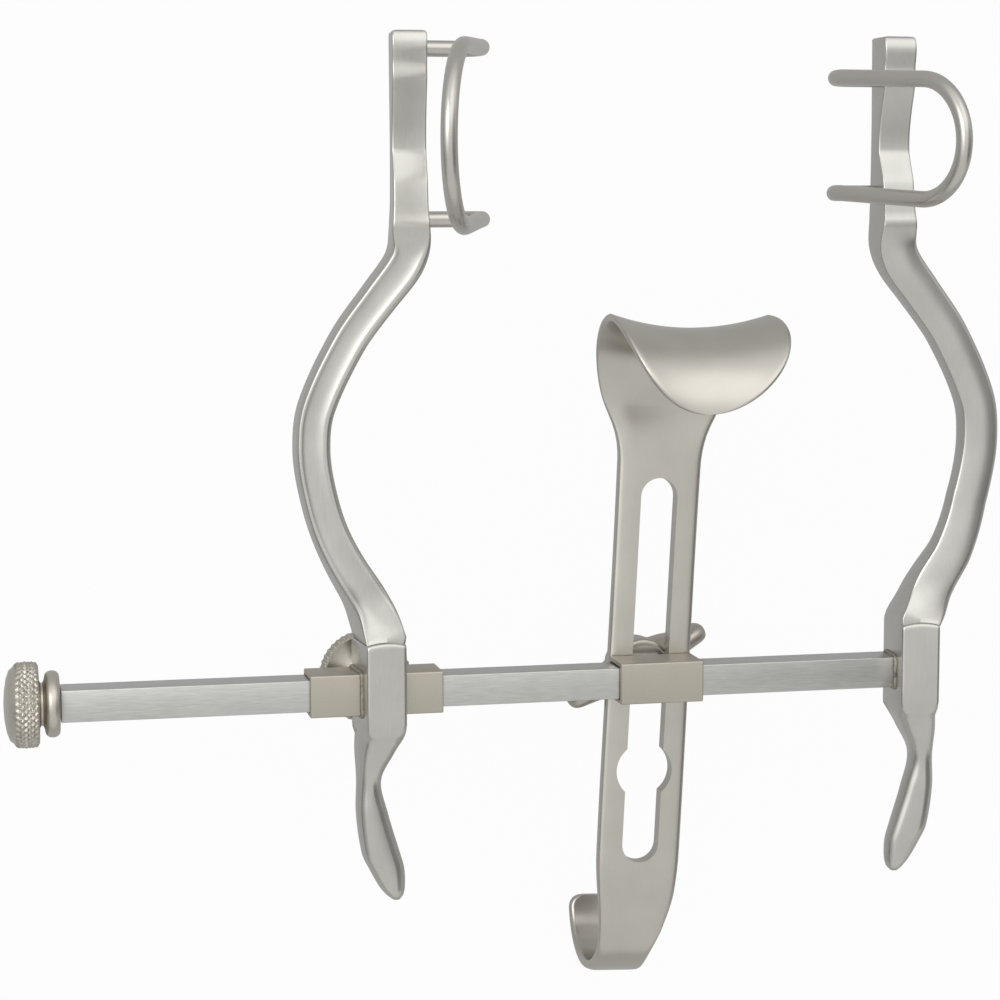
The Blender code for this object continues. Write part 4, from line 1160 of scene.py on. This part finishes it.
    def cut_slot(self, blade: bpy.types.Object, maker: Maker) -> None:
        """Cuts the slot through the finished blade and eases its edges."""
        depths = (self.front_z - 8.0, self.front_z + 4.0)
        shape = sweep([[Vector((x, y, z)) for x, y in self.slot_outline()] for z in depths])
        maker.cut(blade, shape, self.lean_matrix())
        softened = blade.modifiers.new("slot_edge", "BEVEL")
        softened.width, softened.segments = self.slot_edge * MM, 3
        softened.limit_method, softened.angle_limit = "ANGLE", math.radians(50)
        softened.harden_normals = True

    def build(self, maker: Maker) -> None:
        """Makes the blade."""
        bm = sweep([self.ring(station) for station in self.stations()])
        blade = maker.piece(
            bm, "centre_blade_steel", Body.BLADE, FINISHES.blade, ("centre_blade",), CRISP_ANGLE,
            self.lean_matrix(),
        )
        self.cut_slot(blade, maker)


@dataclass
class BladeClamp:
    """Stud, washer and wing nut behind the centre blade."""

    centre_x: float = 54.6
    guide: float = 6.4
    guide_top: float = -4.55
    guide_end: float = -7.9
    stud_radius: float = 2.7
    stud_end: float = -19.5
    thread: tuple[float, float] = (0.8, 0.28)
    washer_radius: float = 5.3
    washer_top: float = -8.3
    washer_thickness: float = 0.8
    bore: float = 3.0
    nut_top: float = -9.4
    hub_height: float = 9.3
    hub_radius: float = 6.2
    hub_top_radius: float = 5.8
    span: float = 31.0
    wing_thickness: float = 3.6
    wing_width: float = 9.4
    wing_rise: float = 1.2
    nut_angle: float = math.radians(26.5)
    voxel: float = 0.22
    smoothings: int = 6

    @property
    def seat(self) -> Matrix:
        """Moves a shape made about the origin onto the stud."""
        return Matrix.Translation((self.centre_x, 0, 0))

    def build_stud(self, maker: Maker) -> None:
        """Makes the stud with its square guide."""
        body, finish, half = Body.CARRIAGE, FINISHES.wire, self.guide / 2
        bm = block((-half, -half, self.guide_end), (half, half, self.guide_top), 0.3)
        maker.piece(bm, "stud_guide", body, finish, ("clamp_stud",), seat=self.seat)
        bm = threaded(self.stud_radius, self.stud_end, self.guide_end + 0.5, *self.thread)
        maker.piece(bm, "stud_thread", body, finish, seat=self.seat)

    def build_washer(self, maker: Maker) -> None:
        """Makes the washer."""
        low, high = self.washer_top - self.washer_thickness, self.washer_top
        rim, edge = self.washer_radius, 0.15
        profile = [
            (self.bore, low), (rim - edge, low), (rim, low + edge),
            (rim, high - edge), (rim - edge, high), (self.bore, high),
        ]
        bm = lathe(profile, 48, closed=True)
        maker.piece(bm, "washer_ring", Body.WASHER, FINISHES.wire, ("clamp_washer",), seat=self.seat)

    def wing(self, side: int) -> bmesh.types.BMesh:
        """One wing of the nut, from inside the hub to its tip."""
        reach = self.span / 2
        rise, width, thick = self.wing_rise, self.wing_width, self.wing_thickness
        rows = (
            (self.hub_top_radius - 2.2, rise * 0.4, width * 0.95, thick * 2.3),
            (reach * 0.45, rise * 0.7, width, thick * 1.7),
            (reach * 0.62, rise * 0.9, width * 0.96, thick * 1.15),
            (reach * 0.78, rise, width * 0.86, thick),
            (reach - 1.4, rise * 0.95, width * 0.68, thick * 0.95),
            (reach - 0.4, rise * 0.9, width * 0.48, thick * 0.75),
            (reach, rise * 0.9, width * 0.26, thick * 0.42),
        )
        base = self.nut_top - self.hub_height / 2
        turn = Matrix.Rotation(self.nut_angle, 3, "Z")
        rings = []
        for k in range(31):
            out = rows[0][0] + (reach - rows[0][0]) * k / 30
            lift, w, t = smooth_row(rows, out)
            ring = []
            for across, depth in rounded_section((t / 2, w / 2, w / 2), (t * 0.48,) * 3):
                ring.append(turn @ Vector((side * out, side * across, base - lift + depth)))
            rings.append(ring)
        return sweep(rings)

    def build_nut(self, maker: Maker) -> None:
        """Makes the wing nut as one softened casting."""
        low = self.nut_top - self.hub_height
        high, hub, top = self.nut_top, self.hub_radius, self.hub_top_radius
        profile = [
            (self.bore, low), (top - 0.5, low), (top, low + 0.5), (hub, high - 1.6),
            (hub, high - 0.2), (hub - 0.2, high), (self.bore, high),
        ]
        bm = lathe(profile, 48, closed=True)
        for side in (1, -1):
            wing = to_mesh(self.wing(side), "wing_part")
            bm.from_mesh(wing)
            bpy.data.meshes.remove(wing)
        nut = maker.piece(
            bm, "wing_nut_casting", Body.NUT, FINISHES.casting, ("wing_nut",), ROUGH_ANGLE, self.seat
        )
        fused = nut.modifiers.new("fused", "REMESH")
        fused.mode = "VOXEL"
        fused.voxel_size = self.voxel * MM
        mesh = bake(nut)
        soft = bmesh.new()
        soft.from_mesh(mesh)
        for _ in range(self.smoothings):
            bmesh.ops.smooth_vert(
                soft, verts=soft.verts, factor=0.5, use_axis_x=True, use_axis_y=True, use_axis_z=True
            )
        soft.to_mesh(mesh)
        soft.free()
        mesh.shade_smooth()
        if not mesh.materials:
            mesh.materials.append(maker.material(FINISHES.casting))

    def build(self, maker: Maker) -> None:
        """Makes the clamp."""
        self.build_stud(maker)
        self.build_washer(maker)
        self.build_nut(maker)


@dataclass
class Studio:
    """Camera, floor, room and lamp. The camera's place is in instrument millimetres."""

    eye: tuple[float, float, float] = (-74.21, 88.62, 461.13)
    azimuth: float = math.radians(11.99)
    elevation: float = math.radians(6.41)
    roll: float = math.radians(-0.13)
    lens: float = 90.0
    sensor: float = 36.0
    floor_shade: float = 0.38
    floor_share: float = 0.97
    floor_gleam: float = 0.3
    room_level: float = 0.82
    white: float = 0.985
    patches: tuple[tuple[tuple[float, float, float], float, float, float], ...] = (
        ((0.0, 1.0, 0.0), -0.35, 0.25, 0.22),
        ((-0.62, 0.25, 0.74), 0.85, 0.97, 0.65),
        ((0.25, 0.62, 0.74), 0.88, 0.97, 0.6),
        ((0.82, -0.05, 0.57), 0.84, 0.96, -0.6),
        ((-0.95, -0.1, 0.25), 0.75, 0.98, -0.35),
        ((0.0, 0.0, -1.0), -0.32, -0.02, -0.35),
    )

    def camera(self, placement: Placement) -> None:
        """Sets the camera where the photograph was taken from."""
        sin_a, cos_a = math.sin(self.azimuth), math.cos(self.azimuth)
        sin_e, cos_e = math.sin(self.elevation), math.cos(self.elevation)
        forward = Vector((sin_a * cos_e, -sin_e, -cos_a * cos_e))
        level = Vector((cos_a, 0.0, sin_a))
        upward = level.cross(forward)
        right = level * math.cos(self.roll) + upward * math.sin(self.roll)
        up = upward * math.cos(self.roll) - level * math.sin(self.roll)
        data = bpy.data.cameras.new("photo_camera")
        data.lens, data.sensor_width = self.lens, self.sensor
        data.clip_start, data.clip_end = 0.01, 20.0
        camera = linked("photo_camera", data)
        pose = Matrix((right, up, -forward)).transposed().to_4x4()
        pose.translation = placement.matrix() @ Vector(self.eye)
        camera.matrix_world = pose
        bpy.context.scene.camera = camera

    def floor(self) -> None:
        """Lays a white floor that shows white to the camera and in the steel, with a faint shadow."""
        bm = bmesh.new()
        bmesh.ops.create_grid(bm, x_segments=1, y_segments=1, size=4.0)
        bmesh.ops.translate(bm, vec=(0, 0, -0.0003), verts=bm.verts)
        mesh = to_mesh(bm, "floor")
        material = bpy.data.materials.new("white_floor")
        tree = NodeTree(material)
        nodes = material.node_tree.nodes
        paint = nodes["Principled BSDF"]
        shade = (*[self.floor_shade] * 3, 1)
        tree.feed(paint, {"Base Color": shade, "Roughness": 0.9, "Specular IOR Level": 0.0})
        path = tree.add("LightPath", {}, "Is Camera Ray").node.outputs
        gleam = tree.add("Math", {0: path["Is Glossy Ray"], 1: path["Is Transmission Ray"]})
        scaled = tree.add("Math", {0: gleam, 1: self.floor_gleam}, operation="MULTIPLY")
        seen = {0: path["Is Camera Ray"], 1: self.floor_share, 2: scaled}
        share = tree.add("Math", seen, operation="MULTIPLY_ADD")
        glow = tree.add("Emission", {})
        mixed = tree.add("MixShader", {"Fac": share, 1: paint.outputs["BSDF"], 2: glow})
        tree.feed(nodes["Material Output"], {"Surface": mixed})
        mesh.materials.append(material)
        floor = linked("floor", mesh)

    def world(self) -> None:
        """Surrounds the scene with a pale room that has soft lighter and darker sides."""
        world = bpy.data.worlds.new("studio")
        bpy.context.scene.world = world
        tree = NodeTree(world)
        place = tree.add("TexCoord", {}, "Generated")
        total = tree.add("Value", {})
        total.default_value = self.room_level
        for toward, start, full, amount in self.patches:
            aim = {0: place, 1: Vector(toward).normalized()}
            side = tree.add("VectorMath", aim, "Value", operation="DOT_PRODUCT")
            limits = {"From Min": start, "From Max": full, "To Min": 0.0, "To Max": amount}
            fade = tree.add("MapRange", {"Value": side, **limits}, interpolation_type="SMOOTHSTEP")
            total = tree.add("Math", {0: total, 1: fade})
        seen = tree.add("LightPath", {}, "Is Camera Ray")
        white = tree.add("Mix", {0: seen, 2: total, 3: self.white}, data_type="FLOAT")
        tree.feed(world.node_tree.nodes["Background"], {"Color": white})

    def lamp(self, place: Vector, aim: Vector, size: float, power: float) -> None:
        """Hangs one soft square lamp.

        Args:
            place: Where it hangs, in metres.
            aim: What it points at.
            size: Its width and height in metres.
            power: Its power in watts.
        """
        data = bpy.data.lights.new("key", "AREA")
        data.shape, data.size, data.energy = "SQUARE", size, power
        lamp = linked("key", data)
        lamp.location = place
        lamp.rotation_mode = "QUATERNION"
        lamp.rotation_quaternion = (aim - place).to_track_quat("-Z", "Y")

    def build(self, placement: Placement) -> None:
        """Sets up camera, floor, world and lamp."""
        self.camera(placement)
        self.floor()
        self.world()
        self.lamp(Vector((-0.6, 0.5, 0.9)), Vector((0.0, 0.0, 0.03)), size=0.6, power=1.6)
        bpy.context.scene.view_settings.view_transform = "Standard"


def main() -> None:
    """Builds every sub-assembly in order, then the studio round it."""
    logging.basicConfig(level=logging.INFO, format="%(message)s")
    bar = Crossbar()
    placement = Placement.from_crossbar(bar.left)
    maker = Maker(placement)
    bar.build(maker)
    Sleeves().build(maker)
    Forging(side=1, origin_x=0.0).build(maker)
    fixed = Forging(
        side=-1, origin_x=FIXED_BOSS_X, arm_corners=(0.4, 1.2), hole=(3.03, 3.53),
        hole_span=(-9.0, 0.5), spine_height=0.12,
    )
    fixed.build(maker)
    WireBlade(side=1, origin_x=0.0, spread=31.2, flare=0.5, drop=1.9).build(maker)
    WireBlade(side=-1, origin_x=FIXED_BOSS_X, spread=21.6, flare=0.0, drop=2.0).build(maker)
    BrazeBeads().build(maker)
    ThumbScrew().build(maker)
    EndKnob().build(maker)
    CentreBlade().build(maker)
    BladeClamp().build(maker)
    Studio().build(placement)


if __name__ == "__main__":
    main()
